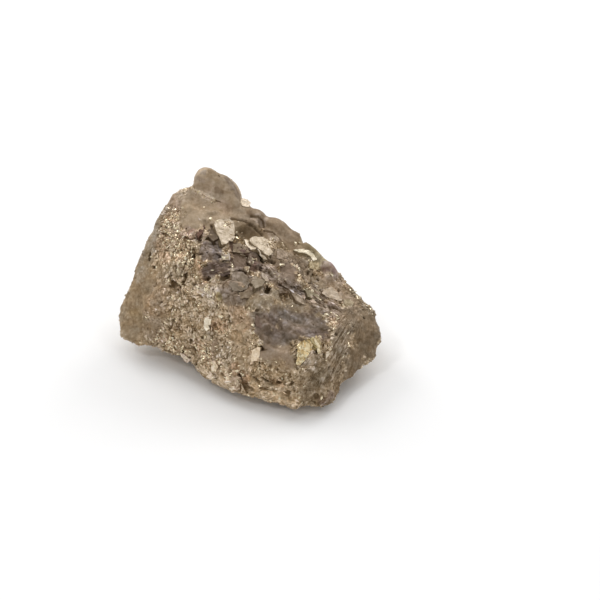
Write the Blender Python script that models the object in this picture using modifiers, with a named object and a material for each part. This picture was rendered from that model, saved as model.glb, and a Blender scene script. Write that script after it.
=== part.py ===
"""A lump of massive pyrite, broken out of its vein: one solid that rests on a small flat spot.

The block is the hull of the corners where its fracture faces meet, with a buttress at its back. Lumps,
flat-faced crystals and grains are fused to it, then ledges, cracks, hollows and pits are worked into its
surface, and the foot is cut flat where the specimen rests.
"""

import math
import random

import bmesh
import bpy
from mathutils import Euler, Vector, noise

MM = 0.001

# Driving dimensions of the whole specimen
LENGTH = 42.0 * MM
DEPTH = 32.0 * MM
HEIGHT = 26.0 * MM

# How finely the fused surface is worked, and how many triangles the finished solid keeps
VOXEL = 0.36 * MM
TRIANGLES = 9000

# Outward directions of the main fracture faces
TOP = Vector((0.35, -0.27, 0.90)).normalized()
LEFT = Vector((-0.53, -0.74, 0.42)).normalized()
FRONT = Vector((0.05, -0.95, 0.30)).normalized()
RIGHT = Vector((0.72, -0.62, 0.32)).normalized()
BACK = Vector((0.10, 0.95, 0.30)).normalized()
BACK_SLOPE = Vector((0.55, 0.60, 0.58)).normalized()
UNDER_LEFT = Vector((-0.35, -0.50, -0.79)).normalized()

# Corners of the block: shares of LENGTH and DEPTH from the middle, and of HEIGHT from the ground
CORNERS = {
    "left toe": (-0.508, 0.03, 0.22),
    "left flank low": (-0.493, 0.05, 0.313),
    "left heel": (-0.462, -0.03, 0.135),
    "left foot edge": (-0.340, -0.14, 0.168),
    "front foot edge": (-0.155, -0.31, 0.148),
    "front foot": (-0.010, -0.462, 0.078),
    "front toe": (0.155, -0.520, 0.060),
    "front right toe": (0.300, -0.519, 0.063),
    "right foot edge": (0.415, -0.27, 0.13),
    "right heel": (0.480, -0.17, 0.15),
    "right shoulder": (0.490, -0.09, 0.26),
    "right brow low": (0.476, -0.044, 0.333),
    "right brow": (0.432, 0.00, 0.41),
    "far edge low": (0.330, 0.11, 0.47),
    "far edge upper": (0.235, 0.175, 0.618),
    "far edge middle": (0.186, 0.21, 0.62),
    "far edge high": (0.045, 0.31, 0.77),
    "knob seat right": (-0.030, 0.345, 0.82),
    "knob seat left": (-0.218, 0.350, 0.945),
    "saddle brow": (-0.268, 0.315, 0.950),
    "left brow": (-0.333, 0.28, 0.850),
    "left cheek": (-0.384, 0.19, 0.70),
    "left flank": (-0.468, 0.08, 0.42),
    "ridge top": (-0.165, 0.09, 0.82),
    "ridge middle": (-0.125, -0.10, 0.71),
    "ridge foot": (0.050, -0.395, 0.38),
    "right corner": (0.270, -0.355, 0.39),
    "back brow": (-0.110, 0.47, 0.75),
    "back left foot": (-0.330, 0.44, 0.16),
    "back foot": (-0.080, 0.50, 0.14),
    "back right foot": (0.270, 0.38, 0.13),
    "back shoulder": (0.150, 0.41, 0.50),
    "far right foot": (0.420, 0.18, 0.18),
    "base back left": (-0.120, 0.18, -0.015),
    "base back right": (0.130, 0.16, -0.015),
    "base left": (-0.180, -0.04, -0.015),
    "base right": (0.240, -0.10, -0.015),
    "base front": (0.115, -0.31, -0.015),
}

# Corners in mm of the buttress that carries the top knob and runs down the back
BUTTRESS = {
    "peak": (-7.6, 13.2, 25.2),
    "knob end": (-2.4, 13.4, 21.6),
    "crest": (-7.4, 15.8, 21.4),
    "crest right": (-3.4, 16.3, 19.0),
    "saddle side": (-9.9, 13.2, 20.4),
    "right flank": (0.6, 15.4, 14.4),
    "left flank": (-10.6, 15.0, 13.0),
    "left foot": (-8.8, 16.2, 8.6),
    "right foot": (-0.6, 16.4, 9.2),
    "root": (-5.0, 10.0, 17.0),
}

# Rounded lumps fused to the block: middle and three radii in mm, and the turn about X, Y and Z in degrees
LUMPS = {
    "top knob": ((-4.4, 12.0, 23.5), (3.6, 2.3, 2.1), (0, 41, 8)),
    "top knob bead": ((-6.9, 12.0, 25.4), (1.9, 1.8, 1.9), (0, 0, 0)),
    "top knob cheek": ((-3.0, 10.8, 22.0), (1.9, 1.6, 1.3), (0, 30, 0)),
    "top knob root": ((-4.9, 12.4, 21.8), (3.9, 2.7, 2.2), (0, 38, 8)),
    "far ledge knob": ((4.4, 8.4, 18.3), (2.6, 1.8, 1.5), (0, 32, 15)),
    "far ledge bulge": ((6.9, 7.5, 16.8), (2.0, 1.7, 1.3), (0, 38, 0)),
    "far ledge bead": ((1.2, 9.0, 20.1), (1.5, 1.2, 1.1), (0, 20, 0)),
    "far small knob": ((13.1, 3.7, 12.4), (1.2, 1.0, 0.9), (0, 40, 0)),
    "round boss": ((6.8, -1.4, 14.9), (2.2, 2.4, 1.0), (-15, 18, 0)),
    "right end knob": ((19.4, -3.6, 5.7), (1.6, 2.3, 2.2), (0, 0, 30)),
    "right heel knob": ((18.4, -5.6, 3.9), (1.9, 2.2, 1.9), (0, 0, 30)),
    "front toe bulge": ((11.8, -14.8, 2.7), (2.0, 1.8, 1.4), (0, 10, 20)),
    "front foot roll": ((5.5, -14.7, 3.0), (4.0, 1.5, 1.4), (0, 4, -4)),
    "left toe bulge": ((-18.5, 1.3, 5.2), (2.7, 2.6, 2.7), (0, 20, 0)),
    "left face swell": ((-11.4, -0.6, 8.8), (6.2, 3.4, 4.8), (0, -20, 0)),
    "left back boss": ((-12.2, 11.6, 8.0), (3.6, 3.0, 4.6), (0, 10, 0)),
    "back low boss": ((7.5, 11.4, 5.2), (4.0, 2.4, 3.2), (0, -15, -20)),
    "back slope boss": ((10.5, 7.6, 11.0), (3.2, 2.4, 2.0), (0, 30, 0)),
}

# Crystals with a flat face laid bare: middle of that face and its width, length and thickness in mm,
# the direction that the face looks in, and its roll about that direction in degrees
CRYSTALS = {
    "cream plate": ((-4.2, 3.4, 21.0), (3.4, 4.2, 2.2), (0.20, -0.34, 0.92), -18),
    "shelf plate": ((2.0, 2.7, 18.5), (4.3, 2.6, 1.6), (0.30, -0.42, 0.86), -34),
    "square crystal": ((-3.2, -1.2, 19.0), (1.7, 1.5, 1.4), (0.10, -0.50, 0.86), 10),
    "right plate": ((13.4, -1.6, 12.4), (3.2, 2.0, 1.4), (0.42, -0.34, 0.84), -30),
    "far streak": ((9.0, 4.4, 15.9), (3.2, 1.2, 1.2), (0.22, -0.50, 0.84), -20),
    "far streak end": ((11.0, 3.0, 14.6), (1.5, 2.2, 1.2), (0.42, -0.42, 0.80), -25),
    "gold crystal": ((8.9, -12.2, 8.9), (2.5, 4.4, 2.2), (-0.16, -0.88, 0.46), -12),
    "gold blade": ((11.6, -11.6, 9.6), (1.0, 3.0, 2.4), (0.30, -0.82, 0.48), 18),
    "upright plate": ((1.0, -12.6, 8.3), (1.4, 2.8, 1.6), (-0.20, -0.95, 0.24), -12),
    "white crystal": ((-6.7, -7.0, 10.2), (1.5, 1.9, 1.3), (-0.42, -0.74, 0.52), 15),
    "knob foot facet": ((-1.0, 10.4, 21.5), (1.6, 1.4, 1.2), (0.30, -0.40, 0.86), 0),
    "ridge crystal": ((-6.3, 4.2, 20.9), (2.2, 2.6, 1.6), (-0.10, -0.56, 0.82), 20),
    "dark step": ((-1.6, -3.2, 17.6), (3.6, 2.2, 1.4), (0.30, -0.60, 0.74), -28),
    "basin rim plate": ((3.0, -9.6, 12.0), (2.6, 2.0, 1.2), (0.05, -0.74, 0.67), -10),
    "back plate": ((-8.4, 14.2, 13.4), (4.6, 3.6, 2.2), (-0.25, 0.92, 0.30), 15),
    "back ledge": ((3.4, 13.9, 12.6), (4.2, 2.8, 2.0), (0.35, 0.72, 0.60), -20),
    "left back plate": ((-14.2, 10.6, 8.4), (3.0, 3.4, 2.0), (-0.70, 0.68, 0.18), 12),
    "right back plate": ((17.0, 4.2, 7.4), (3.6, 3.0, 2.0), (0.72, 0.62, 0.32), -12),
}

# Ledges: a point on the riser and the direction of the run behind it, the face they are on,
# the length of the riser, how far the tread runs back, and how high the riser stands (mm)
LEDGES = {
    "vein ledge": ((8.0, -2.6, 14.2), (0.62, 0.66, -0.42), TOP, 14.0, 3.4, 0.55),
    "near vein ledge": ((4.4, -5.6, 14.8), (-0.50, -0.72, 0.10), TOP, 9.0, 2.6, 0.45),
    "upper shelf": ((-1.4, 0.4, 18.9), (0.10, 0.95, -0.20), TOP, 7.0, 3.2, 0.70),
    "middle shelf": ((-2.0, -4.2, 17.0), (0.15, 0.90, -0.30), TOP, 6.4, 2.4, 0.60),
    "saddle step": ((-8.0, 6.4, 21.8), (0.05, 0.93, 0.30), TOP, 7.0, 3.0, 0.45),
    "far slope step": ((12.4, 0.6, 13.0), (0.66, 0.62, -0.42), TOP, 8.0, 2.6, 0.45),
    "left upper step": ((-11.0, 0.8, 15.8), (-0.30, 0.30, 0.90), LEFT, 6.4, 3.0, 0.40),
    "left lower step": ((-8.0, -6.6, 7.0), (-0.40, 0.20, 0.88), LEFT, 9.0, 2.8, 0.40),
    "front step": ((5.0, -13.6, 5.2), (0.10, 0.10, 0.98), FRONT, 9.0, 2.4, 0.40),
    "back step": ((-2.0, 15.0, 7.0), (0.20, 0.10, 0.95), BACK, 14.0, 4.0, 0.70),
    "back upper step": ((4.0, 12.0, 13.0), (-0.50, 0.20, 0.80), BACK_SLOPE, 9.0, 3.0, 0.60),
}

# Cracks: the two ends, the face they are on, half the width at the surface and the depth (mm)
CRACKS = {
    "vein crack": ((2.6, 0.6, 17.4), (15.4, -5.2, 10.2), TOP, 0.55, 0.45),
    "near vein crack": ((3.4, -1.2, 16.8), (14.0, -6.6, 10.2), TOP, 0.45, 0.30),
    "shelf crevice": ((0.0, 1.6, 18.2), (3.4, 0.2, 17.0), TOP, 0.90, 1.30),
    "slit": ((-0.8, -2.4, 17.6), (1.8, -3.0, 16.6), TOP, 0.60, 0.80),
    "rust slot": ((-1.4, -13.4, 5.6), (0.2, -14.6, 2.6), LEFT, 0.68, 0.90),
    "saddle crack": ((-6.6, 5.6, 21.4), (-4.9, 7.4, 21.8), TOP, 0.60, 0.60),
    "blade crack": ((10.2, -12.4, 10.0), (11.2, -12.6, 7.2), FRONT, 0.53, 0.90),
    "back crack": ((-9.0, 13.6, 5.0), (5.0, 13.8, 10.5), BACK, 0.75, 0.90),
    "foot crack": ((-12.4, -5.4, 5.6), (-6.8, -9.6, 4.4), LEFT, 0.53, 0.50),
}

# Hollows and pits: middle, radius and depth in mm, and the face they are on
HOLLOWS = {
    "dark basin": ((6.0, -9.4, 12.2), 4.6, 0.85, TOP),
    "dark basin left": ((3.6, -9.8, 12.9), 2.6, 0.45, TOP),
    "dark basin right": ((10.4, -8.6, 11.0), 3.6, 0.60, TOP),
    "green hollow": ((0.0, 4.9, 19.8), 2.0, 1.50, TOP),
    "saddle": ((-7.6, 8.6, 23.0), 3.0, 0.50, TOP),
    "knob neck": ((-8.4, 11.2, 25.0), 1.2, 0.25, TOP),
    "far edge notch": ((8.6, 6.2, 16.6), 1.1, 0.20, TOP),
    "far edge gap": ((1.9, 7.4, 19.8), 1.3, 0.70, TOP),
    "vug": ((3.1, -4.9, 15.3), 0.9, 1.30, TOP),
    "lens hole": ((5.9, -5.1, 14.2), 1.1, 1.00, TOP),
    "far hole": ((10.4, 0.4, 14.4), 0.8, 0.80, TOP),
    "shelf pit": ((-5.0, -1.4, 18.6), 1.6, 0.80, TOP),
    "left pit": ((-11.6, -2.0, 13.8), 1.3, 1.20, LEFT),
    "left round pit": ((-12.4, -2.6, 12.0), 1.2, 0.90, LEFT),
    "left low pit": ((-11.6, -4.8, 8.0), 0.9, 0.80, LEFT),
    "ridge pit": ((-8.8, -1.6, 16.0), 1.0, 0.90, LEFT),
    "left small pit": ((-15.4, 0.8, 11.4), 1.0, 0.60, LEFT),
    "front pit": ((3.0, -13.6, 5.4), 1.0, 0.90, FRONT),
    "front pit right": ((6.4, -14.0, 4.6), 0.9, 0.90, FRONT),
    "front low pit": ((9.0, -14.4, 2.8), 0.8, 0.70, FRONT),
    "front upper pit": ((4.2, -13.0, 7.4), 1.1, 0.80, FRONT),
    "left foot hollow": ((-9.8, -6.6, 3.0), 4.2, 0.85, UNDER_LEFT),
    "toe notch": ((15.4, -12.2, 1.4), 2.2, 1.20, RIGHT),
    "right cheek": ((16.6, -7.4, 7.6), 2.2, 0.60, RIGHT),
    "back hollow": ((-11.0, 13.2, 9.0), 2.8, 1.40, BACK),
    "back low hollow": ((1.6, 14.8, 5.0), 2.4, 1.20, BACK),
    "back slope hollow": ((6.8, 10.4, 13.6), 2.4, 1.00, BACK_SLOPE),
    "right back hollow": ((15.4, 6.2, 9.4), 2.2, 0.90, BACK_SLOPE),
}

# Places that broke smooth, which carry no grains: middle and radius in mm
SMOOTH = {
    "saddle": ((-7.6, 8.0, 22.8), 4.2),
    "knob": ((-4.8, 12.0, 24.2), 4.4),
    "far ledge": ((5.0, 8.0, 18.0), 3.6),
    "cream plate": ((-4.2, 3.4, 21.0), 2.6),
    "shelf plate": ((2.0, 2.7, 18.5), 2.6),
    "green hollow": ((0.0, 4.9, 19.8), 1.8),
    "dark basin": ((7.0, -9.2, 12.0), 4.4),
    "round boss": ((6.8, -1.4, 14.9), 2.2),
    "gold crystal": ((9.6, -12.2, 8.9), 2.4),
    "upright plate": ((1.0, -12.6, 8.3), 1.4),
    "back plate": ((-8.4, 14.2, 13.4), 2.6),
    "left cheek": ((-17.0, 5.2, 15.8), 2.2),
    "left heel": ((-17.6, -1.8, 2.9), 1.9),
    "left foot edge": ((-10.0, -6.2, 2.2), 2.6),
    "foot": ((1.0, -2.0, 0.0), 9.0),
}
SMOOTH_RELIEF = 0.35

# How ledges, cracks and hollows are worked in, in mm: the width of a ledge's riser, how far it wavers and
# over what length, how far off its face a ledge or a crack still reaches, how far a crack wavers and over
# what length, and how near to a crystal's bare face a point is brought into its plane
RISER_WIDTH = 0.35
RISER_WAVER = 0.5
RISER_WAVE_LENGTH = 1.7
FACE_REACH = 3.5
CRACK_WAVER = 0.35
CRACK_WAVE_LENGTH = 1.1
SNAP_REACH = 0.9

# In shares: a ledge fades over the last part of its half length and a crack over each end of its length.
# A hollow is level out to this share of its radius, and its rim is uneven by one share of the radius over
# another.
LEDGE_FADE = 1.0 / 3.0
CRACK_FADE = 0.2
HOLLOW_FLOOR = 0.375
RIM_WAVER = 0.22
RIM_WAVE_LENGTH = 0.77
RIM_NOISE_SHIFT = Vector((7.0, 0.0, 3.0))

# A hollow is worked into what faces within about 100 degrees of its own direction
HOLLOW_FACING = -0.2

# Grains: how many, their width in mm, how far of it they sink into the block, and how unequal their sides are
GRAINS = 420
GRAIN_WIDTH = (0.8, 1.7)
GRAIN_SUNK = (0.34, 0.50)
GRAIN_SIDES = (0.75, 1.25)
GRAIN_SEED = 11

# Relief of the bare fracture between the grains, in mm: cells with level tops, on a slow swell
RELIEF_CELL = 1.9
RELIEF_HEIGHT = 0.24
RELIEF_TOP = 0.5
RELIEF_LEVEL = 0.3
SWELL_WIDTH = 6.5
SWELL_HEIGHT = 0.55

# Colour of the massive ore
ORE_COLOUR = (0.30, 0.235, 0.165, 1.0)
ORE_ROUGHNESS = 0.42
ORE_METALLIC = 0.75


def clear_scene():
    for obj in list(bpy.data.objects):
        bpy.data.objects.remove(obj, do_unlink=True)


def smoothstep(share):
    share = min(max(share, 0.0), 1.0)
    return share * share * (3.0 - 2.0 * share)


def add_hull(bm, corners):
    """The convex hull of the corners, among whatever the bmesh already holds."""
    verts = [bm.verts.new(corner) for corner in corners]
    result = bmesh.ops.convex_hull(bm, input=verts)
    bmesh.ops.delete(bm, geom=result["geom_interior"], context="VERTS")


def block():
    """A bmesh with the convex hulls of the block and of its buttress."""
    bm = bmesh.new()
    add_hull(bm, [(x * LENGTH, y * DEPTH, z * HEIGHT) for x, y, z in CORNERS.values()])
    add_hull(bm, [Vector(corner) * MM for corner in BUTTRESS.values()])
    bmesh.ops.recalc_face_normals(bm, faces=bm.faces)
    return bm


def add_lump(bm, middle, radii, turn):
    """An ellipsoid among the block's faces, to be fused to it."""
    made = bmesh.ops.create_icosphere(bm, subdivisions=3, radius=1.0)
    spin = Euler([math.radians(angle) for angle in turn]).to_matrix()
    for vert in made["verts"]:
        stretched = Vector([a * b * MM for a, b in zip(vert.co, radii)])
        vert.co = spin @ stretched + Vector(middle) * MM


def add_crystal(bm, face_middle, size, looks, roll):
    """A box whose outer face has its middle at face_middle and looks in the direction looks."""
    made = bmesh.ops.create_cube(bm, size=1.0)
    outward = Vector(looks).normalized()
    spin = outward.to_track_quat("Z", "Y").to_matrix()
    rolled = Euler((0, 0, math.radians(roll))).to_matrix()
    middle = (Vector(face_middle) - outward * size[2] / 2) * MM
    for vert in made["verts"]:
        stretched = Vector([a * b * MM for a, b in zip(vert.co, size)])
        vert.co = spin @ rolled @ stretched + middle


def is_smooth(point):
    return any((point - Vector(middle) * MM).length < radius * MM for middle, radius in SMOOTH.values())


def add_grains(bm, faces):
    """Small crystals turned at random and scattered evenly over the faces, each sunk by part of its width."""
    rng = random.Random(GRAIN_SEED)
    flats = [(face.normal.copy(), [vert.co.copy() for vert in face.verts]) for face in faces]
    areas = [face.calc_area() for face in faces]
    for _ in range(GRAINS):
        normal, corners = rng.choices(flats, areas)[0]
        a, b = sorted((rng.random(), rng.random()))
        point = corners[0] * a + corners[1] * (b - a) + corners[2] * (1.0 - b)
        width = rng.uniform(*GRAIN_WIDTH)
        sunk = rng.uniform(*GRAIN_SUNK)
        turn = Euler([rng.uniform(0, math.tau) for _ in range(3)]).to_matrix()
        size = Vector([width * rng.uniform(*GRAIN_SIDES) for _ in range(3)])
        if is_smooth(point):
            continue
        made = bmesh.ops.create_cube(bm, size=1.0)
        middle = point - normal * sunk * width * MM
        for vert in made["verts"]:
            vert.co = turn @ (vert.co * size * MM) + middle


def apply_modifiers(obj):
    """The object keeps the mesh that its modifiers make, and loses the modifiers."""
    depsgraph = bpy.context.evaluated_depsgraph_get()
    mesh = bpy.data.meshes.new_from_object(obj.evaluated_get(depsgraph))
    obj.modifiers.clear()
    old = obj.data
    obj.data = mesh
    bpy.data.meshes.remove(old)
    mesh.name = obj.name


def fuse(obj):
    """All overlapping shapes of the object become one skin."""
    remesh = obj.modifiers.new("Fuse", "REMESH")
    remesh.mode = "VOXEL"
    remesh.voxel_size = VOXEL
    apply_modifiers(obj)


def ledge_lift(point, riser, run, face, length, tread, height):
    """How far a ledge lifts a point: sharply at the riser, then fading out along the tread."""
    across = Vector(run)
    across = (across - face * across.dot(face)).normalized()
    along = face.cross(across)
    apart = point - Vector(riser)
    behind = apart.dot(across) + RISER_WAVER * noise.noise(point / RISER_WAVE_LENGTH)
    sideways = abs(apart.dot(along)) / (length / 2)
    off_face = abs(apart.dot(face)) / FACE_REACH
    if not 0.0 < behind < tread or sideways > 1.0 or off_face > 1.0:
        return 0.0
    lift = height * smoothstep(behind / RISER_WIDTH) * (1.0 - smoothstep(behind / tread))
    ends = smoothstep((1.0 - sideways) / LEDGE_FADE)
    return lift * ends * (1.0 - smoothstep(off_face))


def crack_depth(point, start, end, face, half_width, depth):
    """How deep a crack is at a point: it is deepest along its line and runs out at both ends."""
    start = Vector(start)
    line = Vector(end) - start
    share = (point - start).dot(line) / line.length_squared
    if not 0.0 < share < 1.0:
        return 0.0
    apart = point - start - line * share
    off_face = apart.dot(face)
    sideways = (apart - face * off_face).length + CRACK_WAVER * noise.noise(point / CRACK_WAVE_LENGTH)
    if sideways > half_width or abs(off_face) > FACE_REACH:
        return 0.0
    ends = smoothstep(share / CRACK_FADE) * smoothstep((1.0 - share) / CRACK_FADE)
    return depth * ends * (1.0 - smoothstep(sideways / half_width))


def hollow_depth(point, middle, radius, depth):
    """How deep a hollow is at a point: level in its middle, with an uneven rim."""
    apart = (point - Vector(middle)).length / radius
    apart += RIM_WAVER * noise.noise(point / (RIM_WAVE_LENGTH * radius) + RIM_NOISE_SHIFT)
    return depth * smoothstep((1.0 - apart) / (1.0 - HOLLOW_FLOOR))


def relief(point):
    """Height of the bare fracture at a point."""
    near, _ = noise.voronoi(point / RELIEF_CELL)
    level = min((near[1] - near[0]) / RELIEF_TOP, 1.0) - RELIEF_LEVEL
    return RELIEF_HEIGHT * level + SWELL_HEIGHT * noise.noise(point / SWELL_WIDTH)


def crystal_frames():
    """For each bare crystal face: its middle, its three directions, outward first, and half its sizes."""
    frames = []
    for face_middle, size, looks, roll in CRYSTALS.values():
        outward = Vector(looks).normalized()
        turn = outward.to_track_quat("Z", "Y").to_matrix() @ Euler((0, 0, math.radians(roll))).to_matrix()
        frames.append((Vector(face_middle), outward, turn.col[0], turn.col[1], size[0] / 2, size[1] / 2))
    return frames


def flatten_on_crystals(point, frames):
    """A point close to a crystal's bare face is brought into the plane of that face."""
    for middle, outward, across, along, half_width, half_length in frames:
        apart = point - middle
        beside = max(abs(apart.dot(across)) - half_width, abs(apart.dot(along)) - half_length)
        off_plane = apart.dot(outward)
        if beside < 0.0 and abs(off_plane) < SNAP_REACH:
            point = point - outward * off_plane
    return point


def work_surface(mesh):
    """Works the ledges, cracks, hollows, relief and crystal faces into the fused skin."""
    frames = crystal_frames()
    moved = []
    for vert in mesh.vertices:
        point = vert.co / MM
        shift = vert.normal * relief(point) * (SMOOTH_RELIEF if is_smooth(vert.co) else 1.0)
        for riser, run, face, length, tread, height in LEDGES.values():
            if vert.normal.dot(face) > 0.0:
                shift += face * ledge_lift(point, riser, run, face, length, tread, height)
        for start, end, face, half_width, depth in CRACKS.values():
            if vert.normal.dot(face) > 0.0:
                shift -= face * crack_depth(point, start, end, face, half_width, depth)
        for middle, radius, depth, face in HOLLOWS.values():
            if vert.normal.dot(face) > HOLLOW_FACING:
                shift -= face * hollow_depth(point, middle, radius, depth)
        moved.append(flatten_on_crystals(point + shift, frames) * MM)
    for vert, place in zip(mesh.vertices, moved):
        vert.co = place


def thin_out(obj):
    """Fewer triangles: flat faces merge, and edges and crests stay."""
    obj.data.calc_loop_triangles()
    decimate = obj.modifiers.new("Thin out", "DECIMATE")
    decimate.ratio = TRIANGLES / len(obj.data.loop_triangles)
    apply_modifiers(obj)


def cut_foot(obj, cutters):
    """Cuts off what is below the ground, so that the specimen rests on a flat spot."""
    mesh = bpy.data.meshes.new("below ground")
    bm = bmesh.new()
    bmesh.ops.create_cube(bm, size=1.0)
    bm.to_mesh(mesh)
    bm.free()
    cutter = bpy.data.objects.new("below ground", mesh)
    cutters.objects.link(cutter)
    cutter.scale = (2 * LENGTH, 2 * DEPTH, HEIGHT)
    cutter.location = (0, 0, -HEIGHT / 2)
    cutter.hide_render = True
    cutter.display_type = "WIRE"
    bpy.context.view_layer.update()
    cut = obj.modifiers.new("Flat foot", "BOOLEAN")
    cut.operation = "DIFFERENCE"
    cut.solver = "EXACT"
    cut.object = cutter
    apply_modifiers(obj)


def stand_on_origin(mesh):
    """Moves the mesh so that its box has the middle of its bottom at the origin."""
    lows = [min(vert.co[i] for vert in mesh.vertices) for i in range(3)]
    highs = [max(vert.co[i] for vert in mesh.vertices) for i in range(3)]
    offset = Vector([-(lows[0] + highs[0]) / 2, -(lows[1] + highs[1]) / 2, -lows[2]])
    for vert in mesh.vertices:
        vert.co += offset


def ore_material():
    material = bpy.data.materials.new("massive pyrite")
    material.use_nodes = True
    shader = material.node_tree.nodes["Principled BSDF"]
    shader.inputs["Base Color"].default_value = ORE_COLOUR
    shader.inputs["Roughness"].default_value = ORE_ROUGHNESS
    shader.inputs["Metallic"].default_value = ORE_METALLIC
    return material


def main():
    clear_scene()
    collection = bpy.data.collections.new("Pyrite specimen")
    cutters = bpy.data.collections.new("Cutters")
    bpy.context.scene.collection.children.link(collection)
    bpy.context.scene.collection.children.link(cutters)

    bm = block()
    add_grains(bm, list(bm.faces))
    for lump in LUMPS.values():
        add_lump(bm, *lump)
    for crystal in CRYSTALS.values():
        add_crystal(bm, *crystal)
    mesh = bpy.data.meshes.new("pyrite_chunk")
    bm.to_mesh(mesh)
    bm.free()

    chunk = bpy.data.objects.new("pyrite_chunk", mesh)
    collection.objects.link(chunk)
    fuse(chunk)
    work_surface(chunk.data)
    thin_out(chunk)
    cut_foot(chunk, cutters)
    stand_on_origin(chunk.data)
    chunk.data.materials.append(ore_material())


main()
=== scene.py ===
"""The looks of the pyrite specimen.

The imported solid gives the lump's form. Its skin is remeshed finely, its broken faces, ridges, cracks and
pits are worked in, and flakes and bare crystals are set on it. Colours are painted on the mesh by place.
A place is a pixel of the photograph, cast on the skin along the camera's line, or a point in mm where the
photograph doesn't show the skin.
"""

import math

import bmesh
import bpy
import numpy as np
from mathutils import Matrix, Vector, noise
from mathutils.bvhtree import BVHTree


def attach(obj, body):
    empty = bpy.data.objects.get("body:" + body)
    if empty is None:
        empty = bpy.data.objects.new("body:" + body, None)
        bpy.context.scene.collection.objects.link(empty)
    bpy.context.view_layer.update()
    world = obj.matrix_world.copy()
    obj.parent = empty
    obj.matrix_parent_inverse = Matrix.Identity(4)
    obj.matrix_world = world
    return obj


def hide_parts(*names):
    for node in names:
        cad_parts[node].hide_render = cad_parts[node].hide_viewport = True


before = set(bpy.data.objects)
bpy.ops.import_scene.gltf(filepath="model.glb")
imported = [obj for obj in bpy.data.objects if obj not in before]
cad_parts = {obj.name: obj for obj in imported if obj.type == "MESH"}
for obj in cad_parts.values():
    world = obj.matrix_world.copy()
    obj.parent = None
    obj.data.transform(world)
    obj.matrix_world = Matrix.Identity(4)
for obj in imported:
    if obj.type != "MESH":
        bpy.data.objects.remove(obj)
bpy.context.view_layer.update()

MM = 0.001
NODE = "pyrite_chunk"

# The view: the photograph is square, seen from the front and 35 degrees down. PIXEL is the size in mm of one
# of its pixels on the lump.
IMAGE_SIDE = 600
ELEVATION = math.radians(35.0)
LENS = 100.0
SENSOR = 36.0
DISTANCE = 284.0 * MM
NEAREST = 10.0 * MM
AIM = Vector((8.245, 14.191, 0.0)) * MM

FORWARD = Vector((0.0, math.cos(ELEVATION), -math.sin(ELEVATION)))
RIGHTWARD = Vector((1.0, 0.0, 0.0))
UPWARD = RIGHTWARD.cross(FORWARD)
EYE = AIM - FORWARD * DISTANCE
PIXEL = 0.16

# How finely the skin is worked, below which distance its points are welded, and how many triangles it keeps
VOXEL = 0.150 * MM
WELD = 0.001 * MM
SKIN_TRIANGLES = 470000

# The skin is parted at a plane across the view, in mm towards the camera, and its near side at the middle
NEAR_SIDE = 1.0
MIDDLE = -1.0

# Bare grit, the character of all skin that no other character claims. The colour is the paint's, in sRGB.
# "smooth" is how far the solid's edges melt, "lumps", "plates" and "strands" are shares of each relief,
# "mottle" is how uneven the colour is, "flakes" is the share of flakes set on the skin, and "glints" is the
# share of them painted bright, as painted glints. Flakes and strands lie along "way", a line between two
# places, where there is one. The three kinds after it are what most characters start from.
GRIT = {
    "colour": (207, 185, 156), "smooth": 0.0, "lumps": 1.0, "plates": 0.15, "strands": 0.0, "mottle": 0.24,
    "flakes": 1.0, "glints": 0.14,
}
SMOOTH = {
    "smooth": 1.0, "lumps": 0.10, "plates": 0.05, "strands": 0.0, "mottle": 0.14, "flakes": 0.02,
    "glints": 0.05,
}
SATIN = {
    "smooth": 0.7, "lumps": 0.40, "plates": 0.20, "strands": 0.0, "mottle": 0.25, "flakes": 0.12,
    "glints": 0.05,
}
PLATY = {
    "smooth": 0.25, "lumps": 0.25, "plates": 1.0, "strands": 0.0, "mottle": 0.30, "flakes": 0.10,
    "glints": 0.12,
}


def zone(kind, colour, *strokes, **changes):
    """A character of one kind: its colour, the strokes that it covers, and how it differs from its kind."""
    return {**kind, "colour": colour, "strokes": strokes, **changes}


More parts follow.
